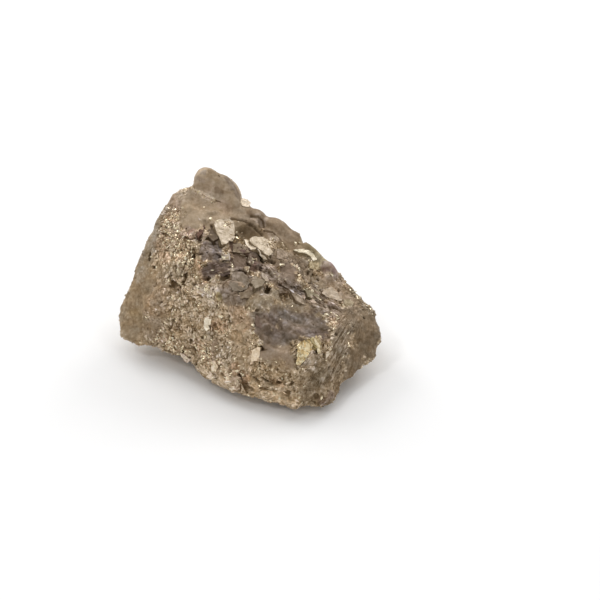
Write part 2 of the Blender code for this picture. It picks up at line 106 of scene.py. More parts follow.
# Characters of the skin. A stroke is its places and a radius in mm.
CHARACTERS = {
    "knob": zone(SMOOTH, (180, 160, 136), ([(203, 175), (216, 183), (231, 190)], 4.2)),
    # The knob's right side is painted dark: painted shade where it turns away from the light
    "shaded knob side": zone(SMOOTH, (85, 70, 62), ([(229, 181), (234, 188), (237, 195)], 0.8)),
    "knob hollow": zone(SMOOTH, (116, 93, 67), ([(217, 190), (221, 194)], 0.5)),
    "knob disc": zone(SMOOTH, (138, 130, 123), ([(203, 172)], 0.55)),
    "knob dark": zone(SMOOTH, (162, 143, 126), ([(198, 178), (203, 181)], 0.4)),
    "knob seam": zone(SATIN, (230, 208, 178), ([(194, 190), (202, 194), (208, 198), (214, 202)], 0.65),
        smooth=0.2, lumps=1.0, flakes=1.5, glints=0.4),
    "saddle": zone(SMOOTH, (170, 150, 125), ([(190, 204), (212, 209), (232, 212)], 2.4), ([(191, 219),
        (204, 222), (212, 214)], 1.9)),
    "left shoulder": zone(SATIN, (187, 168, 146), ([(167, 204), (178, 196), (192, 187)], 1.6)),
    "left fringe": zone(SATIN, (176, 160, 139), ([(163, 209), (156, 223), (151, 238), (149, 250),
        (147, 262), (140, 276)], 1.1)),
    "far ledge": zone(SMOOTH, (151, 131, 108), ([(247, 213), (264, 219), (282, 230), (296, 240)], 2.4)),
    "far rim": zone(SMOOTH, (142, 126, 96), ([(303, 244), (313, 250), (320, 260)], 1.5)),
    "purple lump": zone(SMOOTH, (142, 120, 110), ([(328, 266), (333, 272)], 1.1)),
    "right rim": zone(SATIN, (170, 152, 129), ([(341, 281), (352, 289), (362, 299), (370, 309)], 1.3),
        lumps=0.8, flakes=0.38, glints=0.3),
    "green hollow": zone(SMOOTH, (125, 106, 80), ([(236, 231), (239, 228), (249, 233), (256, 236)], 1.3)),
    "dark recess": zone(PLATY, (108, 89, 75), ([(206, 272), (214, 268), (224, 266)], 1.3), plates=0.5,
        strands=0.6, way=((200, 268), (222, 262))),
    "purple shelf": zone(PLATY, (152, 136, 123), ([(206, 250), (214, 247)], 1.3), ([(206, 257),
        (216, 258)], 1.0), flakes=0.15, way=((204, 246), (222, 254))),
    "dark shelf": zone(PLATY, (116, 93, 79), ([(236, 250), (250, 254)], 1.4), ([(236, 264), (248, 264),
        (257, 266)], 1.2), flakes=0.25, way=((236, 262), (258, 264))),
    "grey shelf": zone(PLATY, (154, 135, 116), ([(230, 284), (240, 278), (250, 284), (258, 284)], 1.8),
        ([(236, 300), (228, 298)], 1.5)),
    "boss": zone(SMOOTH, (127, 109, 92), ([(287, 270), (288, 277)], 1.45), flakes=0.0),
    "round the boss": zone(PLATY, (132, 115, 98), ([(275, 262), (288, 260), (301, 264), (304, 276)], 0.9),
        ([(272, 272), (276, 282)], 0.8), flakes=0.25),
    "beyond the boss": zone(PLATY, (162, 145, 124), ([(304, 272), (312, 281), (322, 287)], 1.2), plates=0.5,
        strands=0.7, flakes=0.4, way=((304, 262), (312, 282))),
    "vein ridge": zone(SMOOTH, (188, 169, 146), ([(262, 262), (270, 271), (280, 281), (291, 291)], 0.3),
        ([(291, 291), (304, 300), (316, 307), (328, 312)], 0.24), flakes=0.0),
    "vein foot": zone(SATIN, (179, 162, 139), ([(264, 286), (276, 293), (290, 301), (302, 307)], 1.1),
        flakes=0.3),
    "taupe facets": zone(PLATY, (155, 137, 116), ([(279, 254), (290, 257)], 1.4), ([(302, 263),
        (310, 266)], 1.3), smooth=0.6),
    "vein side": zone(PLATY, (162, 143, 125), ([(266, 268), (280, 282), (294, 292), (310, 302),
        (332, 309)], 1.5), ([(316, 290), (322, 300)], 1.3), plates=0.6, strands=0.9, flakes=0.6,
        way=((266, 268), (332, 309))),
    "warm slope": zone(SATIN, (166, 145, 122), ([(330, 281), (342, 292), (350, 303)], 1.5)),
    "olive ledge": zone(SATIN, (182, 164, 140), ([(258, 300), (264, 304)], 1.3), ([(282, 302),
        (302, 306)], 1.2)),
    "basin": zone(SATIN, (134, 118, 103), ([(262, 322), (282, 316), (302, 316), (316, 326)], 1.9),
        ([(274, 336), (296, 330), (316, 334)], 1.5), smooth=0.4, lumps=0.1, plates=0.5, mottle=0.46,
        flakes=0.02),
    # Painted shade in the corner of the basin where the front flat begins
    "shaded basin corner": zone(SATIN, (106, 87, 67), ([(264, 332), (270, 344)], 1.2), lumps=0.15, mottle=0.3,
        flakes=0.02),
    "front flat": zone(SMOOTH, (161, 140, 117), ([(268, 355), (284, 354), (288, 364)], 1.4)),
    "rust patch": zone(SATIN, (204, 184, 159), ([(236, 313), (244, 322)], 1.5), lumps=0.7, flakes=0.4),
    "tan facets": zone(PLATY, (195, 171, 140), ([(238, 336), (244, 352), (240, 362)], 1.6), flakes=0.4),
    "end top": zone(SATIN, (133, 115, 94), ([(352, 316), (346, 326)], 1.8), strands=0.5, flakes=0.3),
    "end side": zone(SATIN, (132, 113, 89), ([(365, 326), (365, 346)], 2.8), ([(356, 358),
        (350, 374)], 1.9), lumps=0.2, strands=0.22, mottle=0.34, flakes=0.0),
    "end strands": zone(SATIN, (152, 133, 109), ([(346, 322), (340, 342), (334, 364), (328, 380)], 1.5),
        lumps=0.35, strands=1.0, flakes=0.5, glints=0.12),
    "end foot": zone(SATIN, (166, 146, 120), ([(338, 384), (324, 396)], 2.4), ([(318, 366),
        (312, 386)], 2.2), lumps=0.7, strands=0.4, flakes=0.4),
    "cream band": zone(PLATY, (219, 197, 168), ([(210, 374), (236, 384), (262, 391), (292, 398)], 1.5),
        lumps=0.6, flakes=0.5, way=((210, 374), (292, 398))),
    "front grit": zone(GRIT, (200, 177, 146), ([(262, 372), (286, 376)], 1.8), flakes=0.7),
    "left toe": zone(SATIN, (164, 142, 113), ([(143, 278), (137, 300), (134, 322)], 3.3), lumps=0.25,
        mottle=0.34, flakes=0.05),
    "left slope": zone(SATIN, (176, 154, 128), ([(161, 286), (157, 308), (152, 332)], 1.5), lumps=0.55,
        flakes=0.45),
    "crumbs": zone(GRIT, (229, 210, 189), ([(204, 290), (212, 284)], 1.3), flakes=1.5, glints=0.3),
    "glitter": zone(GRIT, (198, 173, 145), ([(172, 215), (168, 228), (178, 242), (186, 258)], 1.6),
        ([(186, 250), (190, 268)], 1.0), ([(158, 338), (170, 344), (180, 350)], 1.3), ([(198, 346),
        (208, 358), (216, 368)], 1.1), ([(232, 370), (240, 374)], 0.9), flakes=1.8, glints=0.42),
    "buttress face": zone(SATIN, (150, 134, 113), ([(-6.5, 16.6, 20.0), (-5.0, 17.0, 14.0)], 2.6)),
    "back plate face": zone(PLATY, (134, 119, 102), ([(-9.0, 15.2, 13.0)], 2.4)),
    "back slope face": zone(PLATY, (140, 124, 106), ([(4.0, 12.0, 16.0), (9.0, 9.0, 12.0),
        (14.0, 7.0, 8.0)], 2.4)),
    "left back face": zone(SATIN, (146, 131, 110), ([(-15.0, 9.0, 11.0), (-13.0, 11.5, 6.0)], 2.8)),
    "right back face": zone(SATIN, (150, 132, 110), ([(18.0, 2.5, 6.0)], 2.4)),
}

# Stains over that: places, a radius in mm, a colour in sRGB, and a share
STAINS = {
    "rust of the front": ([(236, 312), (243, 322)], 1.2, (176, 142, 110), 0.32),
    "rust of the left face": ([(160, 240), (164, 256)], 1.1, (172, 142, 118), 0.38),
    "rust by the recess": ([(198, 262), (202, 274), (205, 281)], 0.5, (150, 118, 98), 0.3),
    "rust of the toe": ([(150, 302), (146, 312)], 1.2, (168, 142, 114), 0.4),
    "rust low on the front": ([(273, 382), (280, 384)], 0.55, (142, 112, 86), 0.3),
    "rust by the slot": ([(236, 368), (246, 378)], 0.9, (142, 112, 86), 0.4),
    "rust under the white crystal": ([(214, 326), (222, 326)], 0.9, (146, 118, 94), 0.4),
    "blue tarnish": ([(216, 249), (219, 257)], 0.8, (118, 111, 112), 0.35),
    "violet tarnish": ([(318, 334), (324, 336)], 0.9, (116, 100, 98), 0.4),
    "pale basin": ([(284, 314), (292, 316), (300, 320)], 0.9, (134, 126, 118), 0.4),
    "violet basin": ([(304, 332), (318, 338)], 0.9, (116, 102, 96), 0.35),
    "brown basin": ([(272, 322), (276, 334)], 0.8, (104, 90, 80), 0.5),
    "pink lip": ([(186, 233), (198, 236), (204, 240)], 0.9, (164, 142, 130), 0.4),
    "pink by the end": ([(332, 319), (336, 324)], 0.7, (168, 140, 120), 0.35),
    "pink rim": ([(336, 278), (346, 285)], 0.7, (172, 146, 126), 0.4),
    "pink shoulder": ([(172, 200), (178, 205)], 0.9, (164, 144, 130), 0.5),
    "pink saddle": ([(222, 204), (226, 208)], 1.0, (164, 140, 120), 0.4),
    "violet foot": ([(322, 402), (332, 394)], 0.7, (108, 92, 84), 0.5),
    "olive spot": ([(219, 298)], 0.6, (126, 112, 76), 0.6),
    "olive toe": ([(134, 312), (140, 318)], 0.9, (130, 112, 84), 0.5),
    "left edge tarnish": ([(150, 226), (143, 242), (141, 256)], 0.8, (140, 130, 124), 0.3),
}

# Patches painted darker or brighter than the rest of their character: partly the ore's own tone, partly
# painted shade in hollows, under recesses and at the feet, and painted light on ledges, rims and the tongue.
# Each has places, a radius in mm and a tone.
SHADES = {
    "shade at the foot of the hollow": ([(236, 240), (244, 240)], 1.1, -1.10),
    "dull low left grit": ([(172, 334), (182, 336)], 1.1, -0.30),
    "dull left of the crystal": ([(197, 328), (202, 333)], 0.8, -0.28),
    "dull left shoulder": ([(157, 219), (160, 224)], 0.9, -0.30),
    "dull low band": ([(251, 394), (258, 394)], 0.9, -0.30),
    "bright by the seam": ([(203, 192), (209, 196)], 0.9, 0.30),
    "dull by the ridge": ([(273, 262), (277, 268)], 0.8, -0.30),
    "dull vein": ([(315, 301), (320, 304)], 0.8, -0.30),
    "dull beyond the boss": ([(299, 278), (304, 281)], 0.9, -0.35),
    "bright by the slot": ([(243, 385), (247, 387)], 0.9, 0.50),
    "shade under the recess": ([(199, 278), (206, 284)], 0.9, -0.30),
    "dull before the streak": ([(284, 244), (291, 247)], 0.9, -0.30),
    "bright rim": ([(335, 276), (341, 281)], 0.8, 0.30),
    "bright low grit": ([(216, 360), (226, 363)], 1.0, 0.25),
    "dull top of the knob": ([(214, 173), (224, 179)], 1.1, -0.25),
    "dull above the gold": ([(296, 335), (304, 336)], 0.8, -0.25),
    "shade left of the recess": ([(193, 256), (194, 267)], 1.0, -0.60),
    "shade by the toe": ([(166, 350), (176, 353)], 1.1, -0.35),
    "dull right of the basin": ([(322, 334), (325, 344)], 1.0, -0.65),
    "bright ledge": ([(258, 220), (263, 223)], 1.0, 0.45),
    "bright tongue": ([(267, 232), (272, 236), (277, 240)], 0.5, 0.35),
    "bright below the gold": ([(311, 353), (310, 364)], 0.9, 0.50),
    "dull brink of the basin": ([(268, 303), (278, 305)], 1.0, -0.30),
    "dull left of the gold": ([(292, 342), (294, 350)], 0.8, -0.35),
    "bright by the streak": ([(320, 260), (325, 263)], 0.9, 0.60),
    "dull upper grit": ([(160, 244), (164, 250)], 1.0, -0.25),
    "dull by the slot": ([(232, 366), (238, 370)], 0.9, -0.25),
    "dull end": ([(336, 386), (338, 394)], 1.1, -0.30),
    "dull far rim": ([(292, 230), (298, 235)], 0.8, -0.35),
    "shade at the foot of the end": ([(307, 403), (326, 403)], 1.1, -0.35),
    "bright grit": ([(202, 298), (207, 300)], 1.2, 0.28),
    "dull left lip": ([(190, 246), (194, 249)], 0.9, -0.30),
}

# Ridges, and with a negative height dells: places, half width and height in mm
RIDGES = {
    "knob root": ([(196, 187), (204, 194), (213, 200), (224, 204)], 1.10, 0.42),
    "knob dell": ([(218, 189), (222, 194)], 0.75, -0.35),
    "knob disc": ([(203, 174)], 0.60, -0.10),
    "knob brow": ([(210, 170), (220, 176), (228, 184), (234, 193)], 0.45, 0.16),
    "knob notch": ([(198, 180)], 0.40, -0.30),
    "knob line": ([(207, 186), (214, 188)], 0.35, -0.12),
    "purple swell": ([(328, 266), (333, 273)], 0.80, 0.75),
    "dip before it": ([(321, 258), (322, 265)], 0.30, -0.25),
    "dip after it": ([(339, 277), (336, 281)], 0.30, -0.25),
    "basin dell": ([(280, 328), (284, 336), (288, 342)], 0.40, -0.16),
    "basin crease": ([(263, 305), (270, 317), (278, 330), (287, 344)], 0.22, -0.13),
    "basin fold": ([(269, 312), (276, 319), (286, 323), (296, 330)], 0.28, 0.12),
    "upper fold": ([(284, 309), (291, 316), (300, 320)], 0.26, 0.12),
    "lower fold": ([(290, 333), (300, 337), (312, 336)], 0.26, 0.11),
    "far fold": ([(302, 312), (307, 322), (314, 328)], 0.24, 0.11),
    "basin rib": ([(270, 306), (276, 318), (284, 326)], 0.35, 0.14),
    "flat fold": ([(259, 342), (272, 350), (286, 353)], 0.35, 0.14),
    "ring rim": ([(163, 299), (169, 297), (173, 302), (171, 308), (164, 308), (162, 303)], 0.22, 0.16),
    "long ridge": ([(262, 262), (270, 271), (280, 281), (291, 291)], 0.26, 0.46),
    "ridge tail": ([(291, 291), (304, 300), (316, 307), (328, 312)], 0.22, 0.38),
    "heel of the toe": ([(-20.2, -1.4, 4.2), (-19.2, -2.1, 4.0), (-17.9, -2.7, 3.8)], 1.00, 1.05),
    "far bulge": ([(305, 246), (312, 251), (318, 257)], 0.55, 0.62),
    "second ridge": ([(268, 264), (277, 274), (288, 285), (300, 294)], 0.18, 0.18),
    "upper vein": ([(300, 291), (312, 298), (326, 301), (340, 308)], 0.26, 0.26),
    "shelf edge": ([(228, 270), (238, 269), (248, 268), (258, 265)], 0.24, 0.30),
    "recess roof": ([(203, 262), (210, 264), (218, 261)], 0.28, 0.30),
    "recess rim": ([(198, 256), (197, 266), (200, 276), (204, 283)], 0.28, 0.32),
    "left lip": ([(182, 234), (190, 236), (197, 232)], 0.34, 0.34),
    "second lip": ([(192, 247), (200, 246), (206, 242)], 0.26, 0.28),
    "brow crescent": ([(263, 231), (272, 233), (278, 240), (284, 247)], 0.42, 0.40),
    "ledge swell": ([(253, 213), (262, 218), (272, 224)], 0.60, 0.30),
    "round bead": ([(254, 222), (256, 226)], 0.75, 0.55),
    "saddle bead": ([(203, 193), (207, 197), (212, 199)], 0.40, 0.25),
    "boss dome": ([(287, 270), (288, 277)], 1.20, 0.44),
    "boss rim": ([(276, 271), (281, 265), (289, 263), (296, 266), (300, 272)], 0.17, 0.22),
    "boss foot": ([(275, 280), (282, 286), (291, 287), (299, 282), (301, 276)], 0.17, 0.20),
    "basin crest": ([(256, 301), (262, 308), (268, 315)], 0.26, 0.24),
    "end crest": ([(326, 322), (334, 330), (330, 342)], 0.40, 0.22),
    "low lip": ([(222, 380), (234, 388), (246, 396)], 0.40, 0.25),
}

# Cracks and slots, with painted shade inside: places, half width and depth in mm
CRACKS = {
    "shelf crack": ([(256, 248), (260, 251)], 0.16, 0.50),
    "shelf crevice": ([(257, 251), (260, 257), (262, 263), (261, 269)], 0.34, 0.90),
    "ridge line": ([(266, 268), (272, 276), (279, 284), (287, 289), (292, 292)], 0.12, 0.28),
    "vein crack": ([(300, 296), (306, 302), (314, 307), (322, 310)], 0.12, 0.25),
    "upper vein crack": ([(310, 298), (318, 302), (328, 306), (337, 309)], 0.14, 0.30),
    "shelf slit": ([(240, 271), (247, 274)], 0.20, 0.45),
    "short slit": ([(249, 277), (254, 277)], 0.14, 0.32),
    "lip crack": ([(204, 226), (200, 233), (197, 239)], 0.18, 0.50),
    "crack under the lip": ([(184, 237), (190, 239), (195, 238)], 0.15, 0.35),
    "crack under the second lip": ([(194, 254), (202, 254), (208, 252)], 0.15, 0.40),
    "plate gap": ([(212, 226), (216, 234), (218, 238)], 0.28, 0.45),
    "plate corner": ([(207, 238), (210, 240)], 0.28, 0.60),
    "hollow roof": ([(232, 219), (244, 221), (254, 228), (262, 235)], 0.20, 0.28),
    "ledge line": ([(264, 232), (272, 233), (278, 239), (285, 247)], 0.16, 0.26),
    "bead gap": ([(251, 217), (258, 217), (263, 221), (264, 227), (261, 231)], 0.18, 0.26),
    "rust slot": ([(239, 375), (243, 382), (246, 388)], 0.34, 0.80),
    "blade gap": ([(310, 341), (313, 346), (316, 351)], 0.16, 0.60),
    "upright corner": ([(260, 347), (262, 349)], 0.26, 0.50),
    "basin shade": ([(261, 349), (267, 350)], 0.12, 0.16),
    "knob slit": ([(217, 202), (220, 203)], 0.14, 0.20),
    "left crevice": ([(169, 330), (172, 325), (174, 320)], 0.20, 0.30),
    "left fissure": ([(183, 268), (181, 276), (180, 288)], 0.16, 0.35),
    "boss slit": ([(291, 287), (296, 287)], 0.18, 0.35),
    "ridge slit": ([(278, 285), (282, 286)], 0.17, 0.40),
    "vein slit": ([(300, 291), (305, 292)], 0.13, 0.35),
    "dark dash": ([(309, 283), (317, 284)], 0.18, 0.35),
    "far dash": ([(312, 275), (318, 280)], 0.14, 0.35),
    "far pocket": ([(304, 279), (309, 272)], 0.26, 0.30),
    "shelf pocket": ([(222, 279), (229, 275)], 0.34, 0.40),
    "purple slit": ([(217, 254), (220, 257)], 0.16, 0.35),
    "purple dash": ([(220, 247), (223, 247)], 0.16, 0.35),
    "recess corner": ([(203, 266), (206, 265)], 0.26, 0.45),
    "recess floor": ([(206, 280), (209, 278)], 0.26, 0.50),
    "cavity shade": ([(186, 275), (183, 284)], 0.34, 0.55),
    "hook": ([(167, 278), (171, 275)], 0.18, 0.40),
    "toe slot": ([(181, 349), (184, 354)], 0.18, 0.35),
    "front slot": ([(206, 348), (207, 353)], 0.18, 0.35),
    "rust slit": ([(229, 316), (229, 322)], 0.18, 0.35),
    "pit by the plate": ([(259, 363), (260, 368)], 0.24, 0.40),
    "low slot": ([(254, 377), (258, 382)], 0.26, 0.45),
    "low dash": ([(262, 378), (267, 381)], 0.20, 0.35),
    "rust hollow": ([(272, 384), (279, 383)], 0.32, 0.40),
    "low crease": ([(261, 388), (267, 389)], 0.20, 0.30),
    "pocket of the grit": ([(221, 374), (225, 378)], 0.28, 0.45),
    "shoulder line": ([(150, 254), (149, 260)], 0.24, 0.35),
    "glitter pocket": ([(163, 233), (167, 236)], 0.28, 0.40),
    "left slit": ([(181, 290), (180, 294)], 0.17, 0.40),
}

# Pits, with painted shade inside: place, radius and depth in mm
PITS = {
    "vug": ((268, 288), 0.52, 0.85),
    "vug tail": ((266, 292), 0.36, 0.55),
    "ridge hole": ((272, 262), 0.38, 0.70),
    "lens left": ((281, 296), 0.42, 0.40),
    "lens right": ((286, 295), 0.48, 0.45),
    "left cavity": ((174, 284), 0.75, 0.60),
    "left hollow": ((162, 303), 0.26, 0.30),
    "edge pit": ((154, 267), 0.36, 0.45),
    "small pit": ((186, 264), 0.26, 0.40),
    "lip pit": ((194, 257), 0.36, 0.55),
    "grit pit": ((180, 320), 0.24, 0.40),
    "foot pit": ((191, 340), 0.24, 0.40),
    "foot dimple": ((202, 338), 0.24, 0.35),
    "low pit": ((194, 350), 0.28, 0.35),
    "crumb pit": ((213, 290), 0.24, 0.40),
    "rust pit": ((215, 325), 0.32, 0.45),
    "shade of the white": ((209, 328), 0.26, 0.60),
    "front pit": ((270, 367), 0.32, 0.35),
    "low hole": ((288, 392), 0.42, 0.40),
    "low dimple": ((291, 383), 0.28, 0.30),
    "ring": ((313, 378), 0.46, 0.22),
    "foot hole": ((316, 396), 0.45, 0.28),
    "band pit": ((251, 389), 0.32, 0.45),
    "band hole": ((247, 392), 0.28, 0.45),
    "hollow corner": ((236, 236), 0.34, 0.40),
    "shelf hole": ((240, 294), 0.26, 0.35),
    "plate spot": ((257, 310), 0.24, 0.30),
    "far hole": ((339, 291), 0.22, 0.30),
    "rim pit": ((355, 296), 0.24, 0.35),
    "end pit": ((364, 318), 0.26, 0.30),
    "end hollow": ((324, 355), 0.30, 0.30),
    "end gap": ((336, 335), 0.30, 0.30),
    "end dark": ((353, 327), 0.26, 0.25),
}

# Bare crystal faces: outline in places of the photograph, how far it stands out of the skin in mm, its
# colour in sRGB, and the share of it that is broken into flecks painted bright as glints
FACETS = {
    "cream_plate": ([(214, 222), (219, 219), (229, 219), (233, 221), (235, 227), (234, 232), (235, 238),
        (233, 241), (229, 240), (226, 244), (222, 244), (219, 238), (217, 232), (215, 227)], 0.22,
        (194, 178, 156), 0.0),
    "shelf_plate": ([(250, 238), (256, 236), (264, 237), (268, 240), (271, 244), (274, 249), (272, 254),
        (269, 256), (264, 253), (260, 249), (254, 245), (250, 241)], 0.3, (198, 182, 159), 0.0),
    "shelf_strip": ([(244, 239), (248, 240), (252, 244), (257, 247), (255, 249), (251, 249),
        (247, 246)], 0.25, (239, 223, 200), 0.0),
    "shelf_line": ([(257, 248), (260, 250), (264, 255), (267, 260), (264, 260), (260, 255)], 0.42,
        (252, 235, 210), 0.0),
    "square_crystal": ([(222, 253), (227, 254), (230, 253), (230, 260), (222, 260)], 0.42,
        (178, 163, 149), 0.1),
    "far_streak": ([(294, 250), (301, 249), (309, 250), (313, 253), (317, 259), (314, 261), (311, 257),
        (307, 254), (300, 252)], 0.45, (215, 203, 178), 0.0),
    "far_streak_end": ([(311, 261), (318, 260), (322, 268), (316, 270), (310, 268)], 0.2,
        (188, 170, 136), 0.1),
    "right_plate": ([(322, 293), (326, 289), (332, 287), (336, 291), (340, 296), (343, 300), (338, 301),
        (333, 298), (328, 297)], 0.25, (198, 180, 158), 0.0),
    "gold_top": ([(297, 345), (300, 342), (305, 340), (310, 340), (313, 345), (312, 350), (304, 352),
        (297, 352)], 0.3, (222, 192, 136), 0.45),
    "gold_slope": ([(297, 351), (304, 351), (311, 350), (308, 356), (303, 362), (299, 367),
        (296, 366)], 0.34, (249, 221, 166), 0.5),
    # The gleams and the blade's bright edge are painted highlights: near-white paint where the gold crystal
    # catches the light
    "gold_gleam": ([(306, 343), (309, 343), (310, 349), (308, 352), (305, 350)], 0.5, (255, 234, 190), 0.0),
    "low_gold_gleam": ([(299, 356), (303, 354), (305, 357), (301, 362), (299, 361)], 0.52,
        (255, 234, 188), 0.5),
    "gold_blade": ([(310, 338), (313, 337), (316, 343), (318, 349), (315, 347)], 0.32,
        (206, 190, 144), 0.1),
    "gold_blade_edge": ([(314, 338), (317, 341), (320, 347), (320, 353), (318, 354), (316, 346)], 0.42,
        (250, 232, 194), 0.2),
    "upright_plate": ([(252, 350), (257, 347), (260, 348), (259, 355), (257, 361), (251, 362)], 0.3,
        (249, 227, 197), 0.0),
    "white_crystal": ([(204, 320), (207, 318), (211, 320), (211, 324), (208, 325), (209, 329), (206, 331),
        (204, 326)], 0.42, (255, 242, 218), 0.0),
    "knob_foot_facet": ([(239, 201), (243, 198), (248, 199), (251, 203), (249, 207), (243, 206)], 0.25,
        (240, 222, 198), 0.0),
    "taupe_facet": ([(277, 251), (284, 250), (289, 256), (284, 260), (277, 258)], 0.12,
        (168, 148, 127), 0.0),
    "vug_facet": ([(262, 272), (267, 276), (269, 282), (265, 281), (262, 277)], 0.22, (173, 157, 138), 0.0),
    "vein_facet": ([(301, 297), (306, 292), (312, 297), (316, 303), (308, 303)], 0.15,
        (219, 196, 175), 0.0),
    "shelf_facet": ([(232, 272), (243, 272), (248, 277), (240, 282), (232, 280)], 0.1,
        (148, 132, 115), 0.0),
    "front_blade": ([(212, 365), (215, 361), (218, 367), (215, 372), (211, 371)], 0.2,
        (252, 231, 203), 0.1),
    "toe_flake": ([(180, 353), (184, 354), (190, 360), (188, 363), (184, 361)], 0.18, (218, 199, 180), 0.1),
    "front_chip": ([(205, 373), (210, 371), (213, 376), (211, 380), (206, 377)], 0.18,
        (252, 232, 209), 0.1),
    "low_slab": ([(222, 379), (236, 377), (240, 384), (240, 390), (232, 391), (224, 385)], 0.12,
        (199, 175, 152), 0.1),
    "band_facet": ([(260, 391), (272, 390), (276, 396), (270, 398), (262, 396)], 0.12,
        (234, 208, 175), 0.1),
    "end_flake": ([(326, 352), (330, 350), (329, 356), (326, 359)], 0.25, (213, 195, 170), 0.0),
    "lip_plate": ([(186, 233), (192, 229), (197, 229), (197, 233), (190, 236)], 0.2, (183, 154, 136), 0.0),
    "lip_blade": ([(197, 234), (200, 229), (204, 225), (205, 227), (202, 233), (198, 238)], 0.25,
        (100, 73, 58), 0.0),
    "mauve_plate": ([(206, 229), (211, 225), (215, 230), (218, 238), (213, 241), (208, 236)], 0.12,
        (108, 92, 75), 0.0),
    "olive_block": ([(233, 244), (240, 243), (247, 248), (250, 252), (242, 253), (233, 252)], 0.15,
        (142, 125, 104), 0.0),
    "dark_block": ([(233, 254), (240, 253), (247, 255), (247, 266), (240, 268), (233, 266)], 0.12,
        (112, 93, 76), 0.0),
    "dark_block_right": ([(249, 253), (256, 252), (260, 258), (259, 265), (252, 266), (248, 262)], 0.08,
        (137, 120, 105), 0.05),
    "shelf_face": ([(219, 264), (226, 263), (232, 268), (230, 274), (222, 276), (218, 271)], 0.1,
        (91, 75, 65), 0.0),
    "grey_plate": ([(229, 285), (233, 276), (240, 272), (246, 275), (250, 282), (247, 288), (240, 291),
        (232, 290)], 0.15, (129, 115, 98), 0.0),
    "grey_plate_right": ([(251, 282), (255, 276), (262, 273), (266, 280), (262, 286), (255, 288)], 0.15,
        (147, 133, 113), 0.0),
    "low_grey_plate": ([(238, 293), (247, 290), (255, 292), (250, 298), (241, 299)], 0.12,
        (145, 127, 105), 0.0),
    "basin_wedge": ([(256, 315), (262, 319), (262, 328), (255, 325)], 0.1, (120, 100, 85), 0.0),
    "olive_facet": ([(343, 300), (350, 299), (355, 303), (351, 307), (345, 306)], 0.15,
        (157, 141, 114), 0.0),
    "vein_sliver": ([(291, 292), (301, 296), (310, 304), (306, 306), (296, 300)], 0.18,
        (158, 141, 121), 0.0),
    "vein_chip": ([(305, 289), (312, 291), (322, 299), (315, 300), (308, 296)], 0.2, (135, 123, 99), 0.0),
    "upper_facet": ([(312, 283), (322, 281), (328, 287), (318, 290)], 0.15, (154, 135, 111), 0.0),
    "mid_blade": ([(212, 344), (216, 338), (218, 341), (215, 350), (211, 352)], 0.18, (159, 137, 113), 0.0),
    "rust_blade": ([(236, 326), (243, 322), (247, 325), (243, 331), (238, 332)], 0.15,
        (182, 158, 128), 0.0),
}

# Single bright crystals, painted near-white as painted glints, by what they stand on: the two numbers of each
# one's pixel and its size in mm
SPARKS = {
    "plate": [(211, 220, 0.5), (217, 222, 0.36)],
    "square": [(224, 256, 0.36), (228, 256, 0.4)],
    "shelf": [(246, 259, 0.32), (250, 258, 0.3), (254, 260, 0.32), (253, 263, 0.36)],
    "hollow": [(236, 233, 0.3)],
    "boss": [(282, 265, 0.55), (294, 266, 0.3)],
    "far": [(309, 270, 0.25)],
    "gold": [(295, 244, 0.46), (299, 243, 0.32)],
    "vein": [(307, 290, 0.36), (312, 291, 0.46)],
    "end": [(326, 315, 0.5), (330, 313, 0.4)],
    "end bead": [(333, 329, 0.36)],
    "rim": [(355, 292, 0.25), (360, 298, 0.32), (345, 285, 0.32)],
    "purple edge": [(332, 275, 0.36)],
    "front": [(221, 317, 0.46), (218, 312, 0.36), (212, 340, 0.4)],
    "cavity": [(173, 297, 0.46)],
    "glitter": [(172, 236, 0.32), (183, 237, 0.32), (168, 222, 0.34), (170, 227, 0.36), (165, 231, 0.3),
        (183, 208, 0.3), (175, 216, 0.26)],
    "ridge": [(186, 258, 0.42), (179, 263, 0.42), (178, 270, 0.36)],
    "recess": [(198, 277, 0.5)],
    "crumb": [(205, 289, 0.42), (200, 299, 0.32)],
    "low": [(220, 363, 0.36), (222, 367, 0.32), (237, 371, 0.42), (232, 373, 0.36), (243, 374, 0.3)],
    "blade": [(209, 357, 0.36)],
    "slot": [(204, 351, 0.38)],
    "toe": [(163, 345, 0.3), (173, 338, 0.3)],
    "end low": [(328, 354, 0.36)],
    "tip": [(299, 398, 0.3)],
    "band": [(280, 398, 0.4)],
    "basin": [(253, 325, 0.46)],
    "rust": [(247, 315, 0.36)],
    "vug": [(269, 284, 0.32)],
    "edge": [(157, 267, 0.3)],
    "left": [(152, 257, 0.32)],
    "knob line": [(199, 192, 0.24), (204, 197, 0.28), (209, 197, 0.24), (212, 202, 0.28)],
    "more rim": [(357, 294, 0.3), (366, 306, 0.26), (350, 290, 0.28)],
    "toe cluster": [(160, 338, 0.26), (166, 344, 0.26), (176, 346, 0.28), (170, 337, 0.24)],
    "front cluster": [(212, 348, 0.3), (203, 345, 0.28), (226, 372, 0.3), (217, 360, 0.26)],
    "more crumb": [(209, 284, 0.34), (214, 294, 0.3), (198, 290, 0.28)],
    "more ridge": [(183, 264, 0.3), (191, 252, 0.28)],
    "more glitter": [(175, 226, 0.34), (168, 233, 0.3), (179, 219, 0.28)],
}

# Their near-white colour in sRGB, a painted glint, how far they tilt, how much they shine, how far they stand
# out in mm, and the factors of its size between which each side of one lies
SPARK_GLINT_COLOUR = (255, 242, 212)
SPARK_TILT = 0.35
SPARK_SHINE = 0.5
SPARK_LIFT = 0.12
SPARK_SIZES = (0.85, 1.3)
SPARK_SEED = 33

# How uneven a stroke's rim is and how soft, as shares of its radius, and the widths of the wobble in mm
RIM_WAVER = 0.50
RIM_SOFTNESS = 0.45
WOBBLE_WIDTHS = (1.6, 0.6)

# The melting of the solid's edges: rounds for the whole skin, rounds for smooth places, its strength in each
# round, and what is put back in mm for what it takes off
MELT_ALL = 3
MELT_SMOOTH = 24
MELT_STRENGTH = 0.6
MELT_LOSS = 0.09

